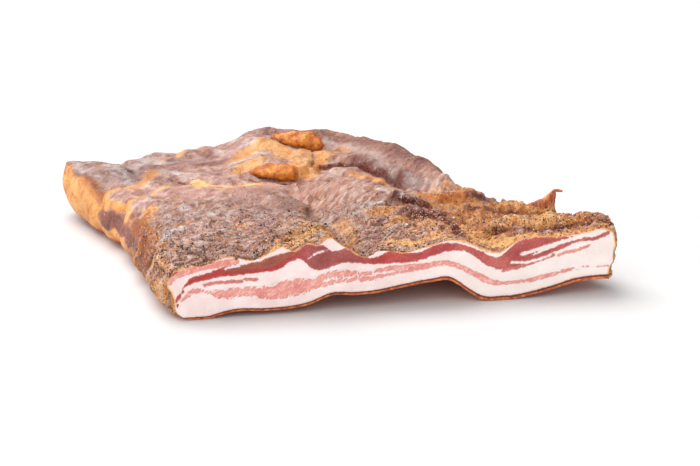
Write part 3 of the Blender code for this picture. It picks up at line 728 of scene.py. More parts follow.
# The skin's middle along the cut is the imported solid's, and its cut stands where the solid's does
shape = build_skin()
solid_low, solid_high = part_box("bacon_slab")
skin_low, skin_high = shape.points.min(axis=0), shape.points.max(axis=0)
FRAME_SHIFT = np.array((
    (solid_low.x + solid_high.x) / 2 - MM * (skin_low[0] + skin_high[0]) / 2, solid_low.y, 0.0,
))


def to_frame(points):
    """The slab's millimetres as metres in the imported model's frame."""
    return points * MM + FRAME_SHIFT


def stroke(x, y, patches):
    """The strongest of the patches at each point, fading evenly from a patch's path to its reach."""
    total = np.zeros(np.shape(x))
    for patch in patches:
        distance, _ = from_path(x, y, patch.path)
        total = np.maximum(total, patch.amount * np.clip(1 - distance / patch.reach, 0, 1))
    return total


def noise_at(points, size, seed=0.0, octaves=3):
    """Smooth noise of about this feature size at each point, mostly between -1 and 1."""
    shift = Vector((seed * 17.3, seed * 5.1, seed * 9.7))
    return np.array([noise.fractal(Vector(p) / size + shift, 1.0, 2.0, octaves) for p in points])


def along_fibres(points, length, width):
    """Points squeezed so that noise on them makes streaks along the muscle's fibres."""
    x, y, z = points.T
    along = x * np.cos(FIBRE_ANGLE) + y * np.sin(FIBRE_ANGLE)
    across = y * np.cos(FIBRE_ANGLE) - x * np.sin(FIBRE_ANGLE)
    return np.column_stack((along / length, across / width, z / length))


def lean_on_cut(x, z):
    """How far inside the lean each point of the cut is, and how red the lean is there."""
    inside = np.full(np.shape(x), -9.0)
    tone = np.zeros(np.shape(x))
    for (low, high), red in ((LOWER_LEAN, 0.0), (UPPER_LEAN, 1.0)):
        band = np.minimum(z - curve(low)(x), curve(high)(x) - z)
        tone = np.where(band > inside, red, tone)
        inside = np.maximum(inside, band)
    for streak in SMALL_LEAN.values():
        within = streak.half_width - from_path(x, z, streak.path)[0]
        tone = np.where(within > inside, streak.tone, tone)
        inside = np.maximum(inside, within)
    for streak in SMALL_FAT.values():
        inside = np.minimum(inside, from_path(x, z, streak.path)[0] - streak.half_width)
    return np.clip(inside, -4, 4), tone


def wrinkle_place(x, y):
    """Millimetres across and along the wrinkles near the cut and the left side."""
    from_cut = np.maximum(y, 0) + 1
    inward = np.maximum(x - left_side(np.clip(y, 0, LEFT_DEPTH)), 0)
    from_left = LEFT_SIDE_SQUEEZE * inward + 1
    return (from_cut ** -2 + from_left ** -2) ** -0.5, x - y


def purple_flank(points):
    """Where lean shows low on the left side, with ragged edges."""
    x, y, z = points.T
    near, far = PURPLE_SIDE
    upper = np.minimum(19 + 0.33 * (far - y), 28 - 0.15 * (152 - y))
    ragged_y = y + 6 * noise_at(points, 14, 15)
    ragged_z = z + 3.5 * noise_at(points, 9, 14)
    along = ease(y, near - 12, near) * ease(ragged_y, far + 4, far - 14)
    high = ease(ragged_z, 10, 15) * ease(ragged_z, upper + 5, upper - 3)
    return ease(x, 60, 20) * along * high * ease(z + 0.09 * (y - near), 16, 22)


def side_layers(x, y, up):
    """Where layers of lean show between the fat of the right and back sides."""
    right = ease(np.abs(up - 0.78), 0.16, 0.06) * ease(x, 40, 120)
    back = ease(np.abs(up - 0.42), 0.12, 0.04) * ease(y, 100, 260) * ease(x, -30, 10)
    return np.clip(right + back, 0, 1)


def crust_channels(points, up, normals):
    """The painted channels of the crust at each point, from 0 to about 1."""
    x, y, _ = points.T
    rim = np.minimum(x - left_side(y), right_side(y) - x)
    rim = np.minimum(rim, back_side(x) - y)
    steep = ease(normals[:, 2], *STEEP) * ease(rim, *STEEP_NEAR_RIM)
    behind = ease(y, *BEHIND)
    purple = purple_flank(points)
    blob = purple * ease(normals[:, 2], 0.93, 0.7)
    side = steep * (0.55 + 0.65 * behind) * (1 - 0.75 * side_layers(x, y, up))
    right_end = ease(x, 262, 268) * ease(y, 30, 10) * steep
    across, along = wrinkle_place(x, y)
    bare_edge = stroke(x, y, [BARE_PATCHES["over the cut at the right"]])
    peppered = (1 - 0.7 * steep * behind) * (1 - 0.7 * np.clip(bare_edge, 0, 1))
    pepper = PEPPER_SHARE * ease(y, *PEPPERED) + stroke(x, y, PEPPER_PATCHES.values())
    back_left = 0.5 * ease(y, 50, 100) + 0.5 * ease(y, 150, 190) * (1 - 0.6 * ease(x, -10, 30))
    back = np.maximum(back_left, ease(y, 70, 160) * ease(x, 90, 120))
    side_amber = 0.2 * steep * behind * (1 - purple)
    fat = np.maximum(stroke(x, y, FAT_PATCHES.values()), np.maximum(side, right_end))
    return {
        "fat": fat * (1 - blob),
        "bare": stroke(x, y, BARE_PATCHES.values()),
        "back": back * (1 - steep) + 0.3 * steep * behind,
        "amber": np.maximum(stroke(x, y, AMBER_PATCHES.values()), side_amber),
        "bloom_and_highlight": stroke(x, y, BLOOM_AND_HIGHLIGHT_PATCHES.values()) * (1 - steep),
        "wet_and_shade": stroke(x, y, WET_AND_SHADE_PATCHES.values()),
        "smoke_and_shade": np.maximum(stroke(x, y, SMOKE_AND_SHADE_PATCHES.values()), 0.8 * blob),
        "pepper": pepper * peppered,
        "near": ease(y, *NEAR),
        "steep": steep,
        "across": across,
        "along": along,
        "wrinkled": ease(y, *WRINKLED) * ease(x, *WRINKLED_ALONG),
        "fibrous": (0.3 + 0.7 * ease(x, *FIBROUS_ALONG)) * (1 - 0.5 * ease(y, 120, 210)),
    }


def relief(points, channels):
    """How far the crust stands out from the smooth skin, in millimetres."""
    x, y, _ = points.T
    craggy = ease(x, *CRAGGY_ALONG) * ease(y, *CRAGGY)
    smooth = channels["steep"] * ease(y, *SMOOTH)
    near = channels["near"]
    lumps = sum(
        (low + more * near) * noise_at(points, size, 1 + number)
        for number, (size, low, more) in enumerate(LUMPS)
    )
    length, width, rise = FIBRE_FOLDS
    folds = rise * (0.5 - np.abs(noise_at(along_fibres(points, length, width), 1, 3)))
    length, width, rise = FIBRE_RIDGES
    ridges = rise * noise_at(along_fibres(points, length, width), 1, 12)
    size, low, more = GRIT
    grit = (low + more * near) * noise_at(points, size, 4, 2)
    streaks = (folds + ridges) * channels["fibrous"]
    height = lumps * (1 + CRAGGY_GAIN * craggy) + streaks + grit
    height = height * (1 - SMOOTH_LOSS * smooth)
    across, along = channels["across"], channels["along"]
    crease = np.column_stack((across / WRINKLE_WIDTH, along / WRINKLE_LENGTH, 0 * across))
    creases = 1 - np.clip(WRINKLE_SHARPNESS * np.abs(noise_at(crease, 1, 13, 2)), 0, 1)
    channels["creased"] = creases * channels["wrinkled"]
    height = height - WRINKLE_HEIGHT * channels["creased"]
    wander = WANDER * noise_at(points, WANDER_LENGTH, 5)
    for crack in CRACKS.values():
        distance = from_path(x + wander, y - wander, crack.path)[0]
        height = height - crack.amount * np.exp(-((distance / crack.reach) ** 2))
    for ledge in LEDGES.values():
        distance, side = from_path(x + wander, y - wander, ledge.path)
        above = ledge.rise * np.exp(-((distance / LEDGE_TOP) ** 2))
        below = ledge.drop * np.exp(-((distance / LEDGE_FOOT) ** 2))
        height = height + np.where(side > 0, above, -below)
    return height


def new_mesh(name, points, faces):
    """A mesh object from points in the slab's millimetres."""
    mesh = bpy.data.meshes.new(name)
    mesh.from_pydata(to_frame(points).tolist(), [], faces)
    mesh.validate()
    mesh.shade_smooth()
    made = bpy.data.objects.new(name, mesh)
    bpy.context.scene.collection.objects.link(made)
    return made


def point_normals(points, faces):
    mesh = bpy.data.meshes.new("normals")
    mesh.from_pydata(points.tolist(), [], faces)
    normals = np.array([normal.vector for normal in mesh.vertex_normals])
    bpy.data.meshes.remove(mesh)
    return normals


def write_channels(mesh, channels):
    for name, values in channels.items():
        attribute = mesh.attributes.new(name, "FLOAT", "POINT")
        attribute.data.foreach_set("value", np.asarray(values, np.float32))


def build_meat(shape):
    """The whole slab as one closed mesh: crust, cut and rind."""
    points = shape.points
    normals = point_normals(points, shape.faces)
    x, y, z = points.T
    channels = crust_channels(points, shape.up, normals)
    inside, tone = lean_on_cut(x, z)
    on_cut = y < 0.01
    touching = [np.zeros(len(points), bool) for _ in (CRUST, CUT, RIND)]
    for face, kind in zip(shape.faces, shape.materials):
        touching[kind][face] = True
    on_crust, in_cut, on_rind = touching
    high = np.where(on_crust, relief(points, channels), 0)
    high = np.where(on_crust & on_cut, AT_CUT * high, high)
    size, rise = RIND_RELIEF
    high = np.where(on_rind & ~on_crust, rise * noise_at(points, size, 6), high)
    high = np.where(on_rind & on_crust, AT_RIND * high, high)
    cut_only = in_cut & ~on_crust & ~on_rind
    out = np.where((on_cut & ~cut_only)[:, None], normals * (1, 0, 1), normals)
    size, rise = CUT_RELIEF
    cut_relief = rise * noise_at(points, size, 7) - LEAN_RECESS * ease(inside, -0.6, 0.6)
    high = np.where(cut_only, cut_relief, high)
    moved = points + out * high[:, None]
    moved[:, 2] = np.maximum(moved[:, 2], 0)
    channels["lean"] = inside
    channels["tone"] = tone
    channels["brown"] = ease(x, 26, 38) * ease(x, 82, 66) * ease(z - curve(UPPER_LEAN[0])(x), 1, 4)
    channels["plum"] = ease(x, 70, 86) * ease(x, 122, 108)
    channels["paler"] = ease(x, 90, 220)
    channels["lobed"] = ease(x, 150, 112) * ease(z - curve(LOWER_LEAN[1])(x), 1.6, 1)
    channels["top_gap"] = cut_top(x) - z
    channels["rind_gap"] = (z - np.maximum(cut_bottom(x), 0)) * np.interp(x, *RIND_LINE_SQUEEZE)
    channels["end_gap"] = np.minimum(x - left_end(shape.up), CUT_WIDTH + right_end(shape.up) - x)
    meat = new_mesh("bacon_meat", moved, shape.faces)
    meat.data.polygons.foreach_set("material_index", shape.materials.astype(np.int32))
    write_channels(meat.data, channels)
    mark_cut_edges(meat.data)
    return meat, moved, channels


def mark_cut_edges(mesh):
    """Makes the edges round the cut sharp."""
    kinds = {}
    for polygon in mesh.polygons:
        for key in polygon.edge_keys:
            kinds.setdefault(key, set()).add(polygon.material_index)
    sharp = [len(kinds[edge.key]) > 1 and CUT in kinds[edge.key] for edge in mesh.edges]
    attribute = mesh.attributes.new("sharp_edge", "BOOLEAN", "EDGE")
    attribute.data.foreach_set("value", sharp)


def build_tongue(name, tongue):
    """A bent tapering body with lumps: rings of points round a smooth line through its centres."""
    along = np.linspace(0, len(tongue.centres) - 1, TONGUE_STATIONS)
    knots = range(len(tongue.centres))
    line = np.column_stack([curve(list(zip(knots, axis)))(along) for axis in zip(*tongue.centres)])
    widths = curve(list(zip(knots, tongue.half_widths)))(along)
    thicknesses = curve(list(zip(knots, tongue.half_thicknesses)))(along)
    turn = np.linspace(0, 2 * np.pi, TONGUE_SIDES, endpoint=False)[:, None]
    wide, thick = (
        np.sign(part) * np.abs(part) ** TONGUE_SQUARENESS for part in (np.cos(turn), np.sin(turn))
    )
    rings = []
    for station, forward in enumerate(np.gradient(line, axis=0)):
        forward = forward / np.linalg.norm(forward)
        across = np.array(tongue.across) - np.dot(tongue.across, forward) * forward
        across = across / np.linalg.norm(across)
        through = np.cross(forward, across)
        sideways = widths[station] * wide * across
        rings.append(line[station] + sideways + thicknesses[station] * thick * through)
    points = np.vstack(rings)
    index = np.arange(len(points)).reshape(TONGUE_STATIONS, TONGUE_SIDES)
    after = np.roll(index, -1, axis=1)
    faces = np.stack((index[:-1], after[:-1], after[1:], index[1:]), -1).reshape(-1, 4).tolist()
    faces = [*faces, index[0, ::-1].tolist(), index[-1].tolist()]
    thin = np.repeat(np.clip(thicknesses / 4, 0.15, 1), TONGUE_SIDES)
    lumps = sum(
        rise * noise_at(points, size, 8 + number) for number, (size, rise) in enumerate(TONGUE_LUMPS)
    )
    points = points + point_normals(points, faces) * (thin * lumps)[:, None]
    return new_mesh(name, points, faces)


# Loose grains of pepper and spice: how many, their middle size, how much the sizes spread, and
# their two tints. The middle of a grain stands out of the crust by the lift, as a share of its
# radius, and no radius is smaller or larger than the two given.
Grain = namedtuple("Grain", "count size spread dark light")
GRAINS = {
    "black_pepper": Grain(2200, 0.76, 0.42, (26, 18, 16), (74, 50, 40)),
    "orange_flakes": Grain(2500, 0.8, 0.35, (176, 96, 40), (226, 156, 84)),
    "pale_flakes": Grain(1000, 0.68, 0.35, (214, 190, 168), (242, 228, 212)),
}
GRAIN_LIFT = 0.2
GRAIN_RADII = (0.22, 1.0)


def icosahedron():
    """Corners and faces of a 20-sided ball of radius 1."""
    golden = (1 + 5 ** 0.5) / 2
    corners = [(0, a, b * golden) for a in (-1, 1) for b in (-1, 1)]
    corners = np.array([np.roll(corner, turn) for turn in range(3) for corner in corners], float)
    corners = corners / np.linalg.norm(corners[0])
    near = np.linalg.norm(corners[:, None] - corners[None], axis=2)
    joined = (near > 0) & (near < 1.2)
    faces = []
    for a in range(12):
        for b in range(a + 1, 12):
            for c in range(b + 1, 12):
                if joined[a, b] and joined[b, c] and joined[a, c]:
                    normal = np.cross(corners[b] - corners[a], corners[c] - corners[a])
                    outward = np.dot(normal, corners[a]) > 0
                    faces.append((a, b, c) if outward else (a, c, b))
    return corners, np.array(faces)


def scatter(name, grain, seed, meat, top_faces, chance):
    """Grains of one kind in one mesh, half sunk into the crust, more of them where chance is high."""
    draw = np.random.default_rng(seed)
    weight = chance[top_faces].mean(axis=1)
    chosen = draw.choice(len(top_faces), grain.count, p=weight / weight.sum())
    quad = meat[top_faces[chosen]]
    u, v = draw.random((2, grain.count, 1))
    near_side, far_side = (1 - u) * quad[:, 0] + u * quad[:, 1], (1 - u) * quad[:, 3] + u * quad[:, 2]
    at = (1 - v) * near_side + v * far_side
    normal = np.cross(quad[:, 2] - quad[:, 0], quad[:, 3] - quad[:, 1])
    normal = normal / np.linalg.norm(normal, axis=1)[:, None]
    corners, faces = icosahedron()
    size = grain.size / 2 * np.exp(grain.spread * draw.standard_normal((grain.count, 1, 1)))
    size = np.clip(size, *GRAIN_RADII)
    stretch = draw.uniform(0.55, 1.2, (grain.count, 1, 3))
    jitter = draw.uniform(0.72, 1.15, (grain.count, 12, 1))
    shapes = corners[None] * stretch * jitter * size
    angles = draw.uniform(0, 2 * np.pi, (grain.count, 3))
    turns = [np.array(Euler(three).to_matrix()) for three in angles]
    shapes = np.einsum("nij,nkj->nki", np.array(turns), shapes)
    points = shapes + at[:, None] + normal[:, None] * size * GRAIN_LIFT
    faces = (faces[None] + 12 * np.arange(grain.count)[:, None, None]).reshape(-1, 3)
    return new_mesh(name, points.reshape(-1, 3), faces.tolist())


def srgb(red, green, blue):
    """A shader colour from the 0 to 255 values that a picture shows."""
    values = np.array((red, green, blue)) / 255
    linear = np.where(values <= 0.04045, values / 12.92, ((values + 0.055) / 1.055) ** 2.4)
    return (*linear, 1.0)


# Specks in the crust: the size of their cells in millimetres, how much of a cell one fills, the
# share of the cells that hold one where there is most pepper, their colour and their strength.
# Dashes are specks stretched along the wrinkles.
SPECKS = (
    (1.5, 0.42, 0.36, srgb(48, 18, 10), 0.95),
    # The pale specks are salt, and painted glints
    (1.2, 0.38, 0.17, srgb(248, 228, 208), 0.85),
    (2.3, 0.30, 0.16, srgb(24, 15, 12), 0.95),
)
DASHES = (1.5, 0.42, 0.24, srgb(224, 142, 58), 0.9)
DASH_STRETCH = 2.6


class Graph:
    """The nodes of one material, joined as they are made. Coordinates come in millimetres."""

    def __init__(self, name):
        self.material = bpy.data.materials.new(name)
        self.material.use_nodes = True
        self.nodes = self.material.node_tree.nodes
        self.links = self.material.node_tree.links
        self.shader = self.nodes["Principled BSDF"]
        place = self.make("ShaderNodeTexCoord").outputs["Object"]
        self.place = self.vector("SCALE", place, 1 / MM)

    def make(self, kind, inputs=None, **settings):
        node = self.nodes.new(kind)
        for name, value in settings.items():
            setattr(node, name, value)
        for name, value in (inputs or {}).items():
            self.join(value, node.inputs[name])
        return node

    def join(self, value, socket):
        if isinstance(value, bpy.types.NodeSocket):
            self.links.new(value, socket)
        elif value is not None:
            socket.default_value = value

    def vector(self, operation, a, b):
        inputs = {0: a, "Scale" if operation == "SCALE" else 1: b}
        return self.make("ShaderNodeVectorMath", inputs, operation=operation).outputs[0]

    def flat(self, x, y):
        """A place from its first two coordinates."""
        return self.make("ShaderNodeCombineXYZ", {0: x, 1: y}).outputs[0]

    def channel(self, name):
        return self.make("ShaderNodeAttribute", attribute_name=name).outputs["Fac"]

    def squeeze(self, length, width, angle=-FIBRE_ANGLE, axis="Z_AXIS"):
        """Places squeezed so that a texture on them makes streaks of this length and width."""
        inputs = {"Vector": self.place, "Angle": angle}
        turned = self.make("ShaderNodeVectorRotate", inputs, rotation_type=axis).outputs[0]
        depth = length if axis == "Z_AXIS" else width
        return self.vector("MULTIPLY", turned, (1 / length, 1 / width, 1 / depth))

    def noise(self, size, detail=3.0, roughness=0.55, at=None):
        """Noise from 0 to 1 with features of this size in millimetres."""
        inputs = {
            "Vector": at or self.place, "Scale": 1 / size, "Detail": detail, "Roughness": roughness,
        }
        return self.make("ShaderNodeTexNoise", inputs).outputs["Fac"]

    def cells(self, size, output="Distance", feature="F1", at=None):
        """The distance into each of a field of random cells of this size, or its other outputs."""
        inputs = {"Vector": at or self.place, "Scale": 1 / size}
        return self.make("ShaderNodeTexVoronoi", inputs, feature=feature).outputs[output]

    def math(self, operation, a, b):
        return self.make("ShaderNodeMath", {0: a, 1: b}, operation=operation).outputs[0]

    def times(self, a, b):
        return self.math("MULTIPLY", a, b)

    def add(self, *values):
        total = values[0]
        for value in values[1:]:
            total = self.math("ADD", total, value)
        return total

    def ease(self, value, low, high, start=0.0, end=1.0):
        """From start at low to end at high, smoothly, and level outside them."""
        inputs = {"Value": value, "From Min": low, "From Max": high, "To Min": start, "To Max": end}
        return self.make("ShaderNodeMapRange", inputs, interpolation_type="SMOOTHSTEP").outputs[0]

    def ramp(self, value, *stops):
        """A colour for each value, through stops of (value, red, green, blue)."""
        node = self.make("ShaderNodeValToRGB", {"Fac": value})
        band = node.color_ramp.elements
        first, *middle, last = [(position, srgb(*colour)) for position, *colour in stops]
        band[0].position, band[0].color = first
        band[1].position, band[1].color = last
        for position, colour in middle:
            band.new(position).color = colour
        return node.outputs["Color"]

    def mix(self, share, a, b, blend="MIX"):
        node = self.make("ShaderNodeMix", data_type="RGBA", blend_type=blend)
        for socket, value in ((node.inputs[0], share), (node.inputs[6], a), (node.inputs[7], b)):
            self.join(value, socket)
        return node.outputs[2]

    def finish(self, colour, roughness, bumps, **settings):
        """Joins the colour, the roughness and bumps of (height, millimetres) to the shader."""
        normal = None
        for height, distance in bumps:
            inputs = {"Height": height, "Distance": distance * MM, "Strength": 1.0, "Normal": normal}
            normal = self.make("ShaderNodeBump", inputs).outputs[0]
        self.join(colour, self.shader.inputs["Base Color"])
        self.join(roughness, self.shader.inputs["Roughness"])
        self.join(normal, self.shader.inputs["Normal"])
        for name, value in settings.items():
            self.shader.inputs[name.replace("_", " ")].default_value = value
        return self.material


def crust_material():
    g = Graph("dried_crust")
    fibres = g.noise(1, 4, 0.62, g.squeeze(11, 3))
    blotches = g.noise(26, 3)
    patches = g.noise(8, 4, 0.6)
    near = g.channel("near")
    crisp = g.ease(near, 0, 1, 0.15, 1.5)
    fine = g.add(g.times(g.add(g.noise(2.6, 4, 0.72), -0.5), crisp), 0.5)
    grit = g.add(g.times(g.add(g.noise(1.1, 3, 0.75), -0.5), crisp), 0.5)
    ragged = g.add(g.times(patches, 1.0), g.times(fine, 1.2), -1.1)
    streaks = g.add(patches, g.times(g.channel("fibrous"), g.add(fibres, g.times(patches, -1))))
    wrinkled = g.channel("wrinkled")

    lean_value = g.add(g.times(streaks, 0.75), g.times(fine, 0.4), g.times(blotches, 0.15), -0.15)
    lean = g.ramp(
        lean_value, (0.32, 78, 30, 18), (0.42, 142, 92, 78), (0.5, 189, 147, 135),
        (0.58, 217, 182, 170), (0.7, 240, 221, 212),
    )
    warm = g.ease(g.noise(5, 4, 0.75), 0.47, 0.6)
    lean = g.mix(g.times(warm, g.ease(wrinkled, 0, 1, 0.65, 0.3)), lean, srgb(200, 136, 88))
    rosy = g.ease(g.noise(1, 3, 0.6, g.squeeze(34, 9)), 0.48, 0.6)
    lean = g.mix(g.times(rosy, 0.4), lean, srgb(176, 112, 106))

    fat_value = g.add(g.times(patches, 0.4), g.times(fine, 0.5), g.times(blotches, 0.1))
    fat = g.ramp(
        fat_value, (0.3, 106, 46, 18), (0.41, 188, 108, 48), (0.5, 234, 161, 88),
        (0.6, 251, 197, 126), (0.76, 254, 230, 182),
    )
    fat = g.mix(g.ease(g.add(g.channel("amber"), ragged), 0.3, 0.8, 0, 0.7), fat, srgb(226, 138, 60))
    fat = g.mix(g.ease(g.add(g.channel("bare"), ragged), 0.2, 0.9, 0, 0.75), fat, srgb(252, 202, 138))
    fat = g.mix(g.times(near, 0.6), fat, srgb(255, 243, 230), "MULTIPLY")
    fatness = g.ease(g.add(g.channel("fat"), ragged), 0.2, 0.66)
    colour = g.mix(fatness, lean, fat)

    # Brown smoke staining, with painted shade over the crack, in the seam and at the right end
    smoke_and_shade = g.ease(g.add(g.channel("smoke_and_shade"), g.times(ragged, 0.9)), 0.15, 0.95)
    colour = g.mix(g.times(smoke_and_shade, 0.9), colour, srgb(164, 100, 78), "MULTIPLY")
    across, along = g.channel("across"), g.channel("along")
    crease_place = g.flat(g.times(across, 1.6 / WRINKLE_WIDTH), g.times(along, 1 / WRINKLE_LENGTH))
    crease = g.noise(1, 4, 0.7, crease_place)
    # Painted shade: dark brown along the creases of the wrinkles
    creased = g.ease(g.add(g.channel("creased"), ragged), 0.35, 0.9)
    colour = g.mix(g.times(creased, 0.75), colour, srgb(76, 34, 20))
    # Painted highlight on the crests of the wrinkles
    crest_highlight = g.times(g.ease(crease, 0.53, 0.62), g.times(wrinkled, 0.5))
    colour = g.mix(crest_highlight, colour, srgb(228, 196, 176))
    # Dark glossy wet meat, and painted shade in the cracks, hollows and under the ledges and the flap
    wet_and_shade = g.ease(g.add(g.channel("wet_and_shade"), ragged), 0.4, 0.8)
    dark = g.ramp(fine, (0.35, 60, 6, 3), (0.52, 120, 30, 14), (0.66, 178, 106, 78))
    colour = g.mix(g.times(wet_and_shade, 0.9), colour, dark)
    # White bloom with painted highlights and sheen; the near-white second mix, where the grit is high,
    # is painted glints
    bloom_and_highlight = g.add(g.channel("bloom_and_highlight"), ragged, g.times(g.add(grit, -0.5), 1.2))
    colour = g.mix(g.ease(bloom_and_highlight, 0.2, 1.05, 0, 0.62), colour, srgb(226, 214, 212))
    colour = g.mix(g.ease(bloom_and_highlight, 0.9, 1.2, 0, 0.85), colour, srgb(250, 247, 248))
    shade = g.mix(g.ease(g.channel("fibrous"), 0.2, 0.5), srgb(207, 212, 217), srgb(216, 209, 201))
    colour = g.mix(g.channel("back"), colour, shade, "MULTIPLY")

    pepper = g.channel("pepper")
    dash_place = g.flat(across, g.times(along, 1 / DASH_STRETCH))
    for number, (size, reach, share, tint, strength) in enumerate((*SPECKS, DASHES)):
        shift = (3.7 * number, 1.9 * number, 0.0)
        start = g.place if number < len(SPECKS) else dash_place
        moved = g.vector("ADD", start, shift)
        draw = g.make("ShaderNodeSeparateColor", {0: g.cells(size, "Color", at=moved)}).outputs[0]
        chosen = g.math("LESS_THAN", draw, g.times(g.add(pepper, 0.03), share))
        speck = g.ease(g.cells(size, at=moved), reach, 0.6 * reach)
        colour = g.mix(g.times(g.times(speck, chosen), strength), colour, tint)

    shine = g.ease(grit, 0.35, 0.65, 0.4, 0.75)
    roughness = g.times(shine, g.ease(wet_and_shade, 0, 1, 1, 0.4))
    crease_height = g.times(crease, wrinkled)
    bumps = [(streaks, 1.8), (patches, 2.2), (fine, 2.0), (grit, 0.6), (crease_height, 3.0)]
    return g.finish(colour, roughness, bumps)


# The dark, middle and light tints of the red, brown, plum and light red lean on the cut
LEAN_STOPS = (0.36, 0.5, 0.66)
LEANS = (
    ((140, 18, 20), (168, 34, 34), (198, 78, 72)),
    ((124, 54, 38), (154, 76, 56), (180, 108, 82)),
    ((124, 48, 46), (154, 70, 66), (190, 112, 104)),
    ((144, 54, 52), (176, 82, 77), (206, 126, 116)),
)


def cut_material():
    g = Graph("fresh_cut")
    slanted = g.squeeze(7.5, 3.4, np.radians(40), "Y_AXIS")
    wobble = g.make("ShaderNodeTexNoise", {"Vector": g.place, "Scale": 0.4, "Detail": 2.0})
    inputs = {"Fac": 0.6, "Color1": slanted, "Color2": wobble.outputs["Color"]}
    bent = g.make("ShaderNodeMixRGB", inputs, blend_type="ADD").outputs[0]
    border = g.cells(1, feature="DISTANCE_TO_EDGE", at=bent)
    notch = g.times(g.ease(border, 0.14, 0.0), g.channel("lobed"))

    teeth = g.add(g.times(g.noise(2.4, 3, 0.6), 2.6), g.times(g.noise(0.9, 2, 0.6), 1.3), -1.95)
    inside = g.add(g.channel("lean"), teeth, g.times(notch, -1.5))
    lean = g.ease(inside, -0.3, 0.3)
    grain = g.noise(0.8, 4, 0.68)
    cloud = g.noise(12, 3)
    bundles = g.noise(1, 3, 0.65, g.squeeze(5, 0.8, np.radians(50), "Y_AXIS"))

    pale = g.ramp(
        g.add(g.times(grain, 0.35), g.times(cloud, 0.35), g.times(bundles, 0.3)),
        (0.38, 206, 116, 107), (0.5, 222, 142, 130), (0.62, 237, 175, 162),
    )
    vein = g.times(g.ease(border, 0.09, 0.0), g.ease(g.noise(5, 2), 0.34, 0.56))
    pale = g.mix(g.times(vein, 0.6), pale, srgb(240, 206, 198))

    depth = g.add(g.times(grain, 0.4), g.times(cloud, 0.45), g.times(bundles, 0.15))
    red, brown, plum, light_red = (
        g.ramp(depth, *((stop, *tint) for stop, tint in zip(LEAN_STOPS, tints))) for tints in LEANS
    )
    red = g.mix(g.times(g.channel("paler"), 0.8), red, light_red)
    deep = g.mix(g.channel("brown"), red, brown)
    deep = g.mix(g.channel("plum"), deep, plum)
    lean_colour = g.mix(g.ease(g.channel("tone"), 0.05, 0.9), pale, deep)
    lean_colour = g.mix(g.ease(inside, 1.2, 0.1, 0, 0.35), lean_colour, srgb(210, 124, 116))
    flecks = g.times(g.ease(g.cells(1.7), 0.16, 0.06), g.ease(g.noise(5, 2), 0.5, 0.62))
    lean_colour = g.mix(g.times(flecks, 0.5), lean_colour, srgb(240, 214, 206))

    cream_value = g.add(g.times(cloud, 0.6), g.times(grain, 0.4))
    left_cream = g.ramp(cream_value, (0.35, 228, 201, 196), (0.6, 240, 224, 221))
    right_cream = g.ramp(cream_value, (0.35, 230, 213, 206), (0.6, 239, 227, 223))
    cream = g.mix(g.channel("paler"), left_cream, right_cream)
    colour = g.mix(lean, cream, lean_colour)

    edge = g.add(g.channel("top_gap"), g.times(g.noise(2.4, 3), 2.0))
    colour = g.mix(g.ease(edge, 2.1, 1.1), colour, srgb(226, 158, 92))
    end = g.add(g.channel("end_gap"), g.times(g.noise(4, 3), 1.6))
    colour = g.mix(g.ease(end, 1.9, 0.9), colour, srgb(228, 176, 112))
    fray = g.times(g.noise(1.1, 3, 0.7), 1.5)
    gap = g.add(g.channel("rind_gap"), fray)
    colour = g.mix(g.ease(gap, 5.0, 3.2, 0, 0.35), colour, srgb(226, 160, 128))
    dark_line = g.ramp(grain, (0.35, 62, 14, 8), (0.65, 116, 46, 30))
    colour = g.mix(g.ease(gap, 3.4, 3.0), colour, dark_line)
    bright_line = g.ramp(g.noise(3, 3), (0.35, 124, 46, 12), (0.5, 190, 86, 26), (0.66, 220, 132, 62))
    colour = g.mix(g.ease(gap, 2.2, 1.9), colour, bright_line)

    roughness = g.ease(grain, 0.3, 0.7, 0.3, 0.5)
    bumps = [(lean, 0.2), (grain, 0.15), (bundles, 0.15)]
    g.shader.inputs["Subsurface Radius"].default_value = (1.0, 0.45, 0.3)
    return g.finish(colour, roughness, bumps, Subsurface_Weight=0.15, Subsurface_Scale=0.002)


def rind_material():
    g = Graph("smoked_rind")
    blotches = g.noise(22, 4)
    leather = g.cells(2.4)
    pores = g.noise(1.2, 3, 0.6)
    colour = g.ramp(
        g.add(g.times(blotches, 0.7), g.times(pores, 0.3)), (0.3, 130, 44, 12), (0.5, 204, 86, 28),
        (0.7, 234, 124, 50),
    )
    roughness = g.ease(pores, 0.3, 0.7, 0.4, 0.6)
    return g.finish(colour, roughness, [(leather, 0.35), (blotches, 0.6), (pores, 0.2)])


# The tints of smoked fat from dark to light
FAT_STOPS = (0.32, 0.42, 0.53, 0.66)
ORANGE_FAT = (92, 36, 10), (168, 82, 16), (212, 122, 30), (240, 182, 96)
TAN_FAT = (130, 76, 42), (178, 118, 68), (204, 146, 92), (232, 190, 142)


def smoked_fat_material(name, tints):
    g = Graph(name)
    blotches = g.noise(6, 4, 0.65)
    fine = g.noise(1.6, 4, 0.7)
    value = g.add(g.times(blotches, 0.6), g.times(fine, 0.4))
    colour = g.ramp(value, *((stop, *tint) for stop, tint in zip(FAT_STOPS, tints)))
    specks = g.ease(g.cells(1.9), 0.3, 0.18)
    colour = g.mix(g.times(specks, 0.4), colour, srgb(92, 48, 26))
    roughness = g.ease(fine, 0.3, 0.7, 0.42, 0.65)
    bumps = [(blotches, 1.2), (fine, 0.8)]
    return g.finish(colour, roughness, bumps, Subsurface_Weight=0.1, Subsurface_Scale=0.003)


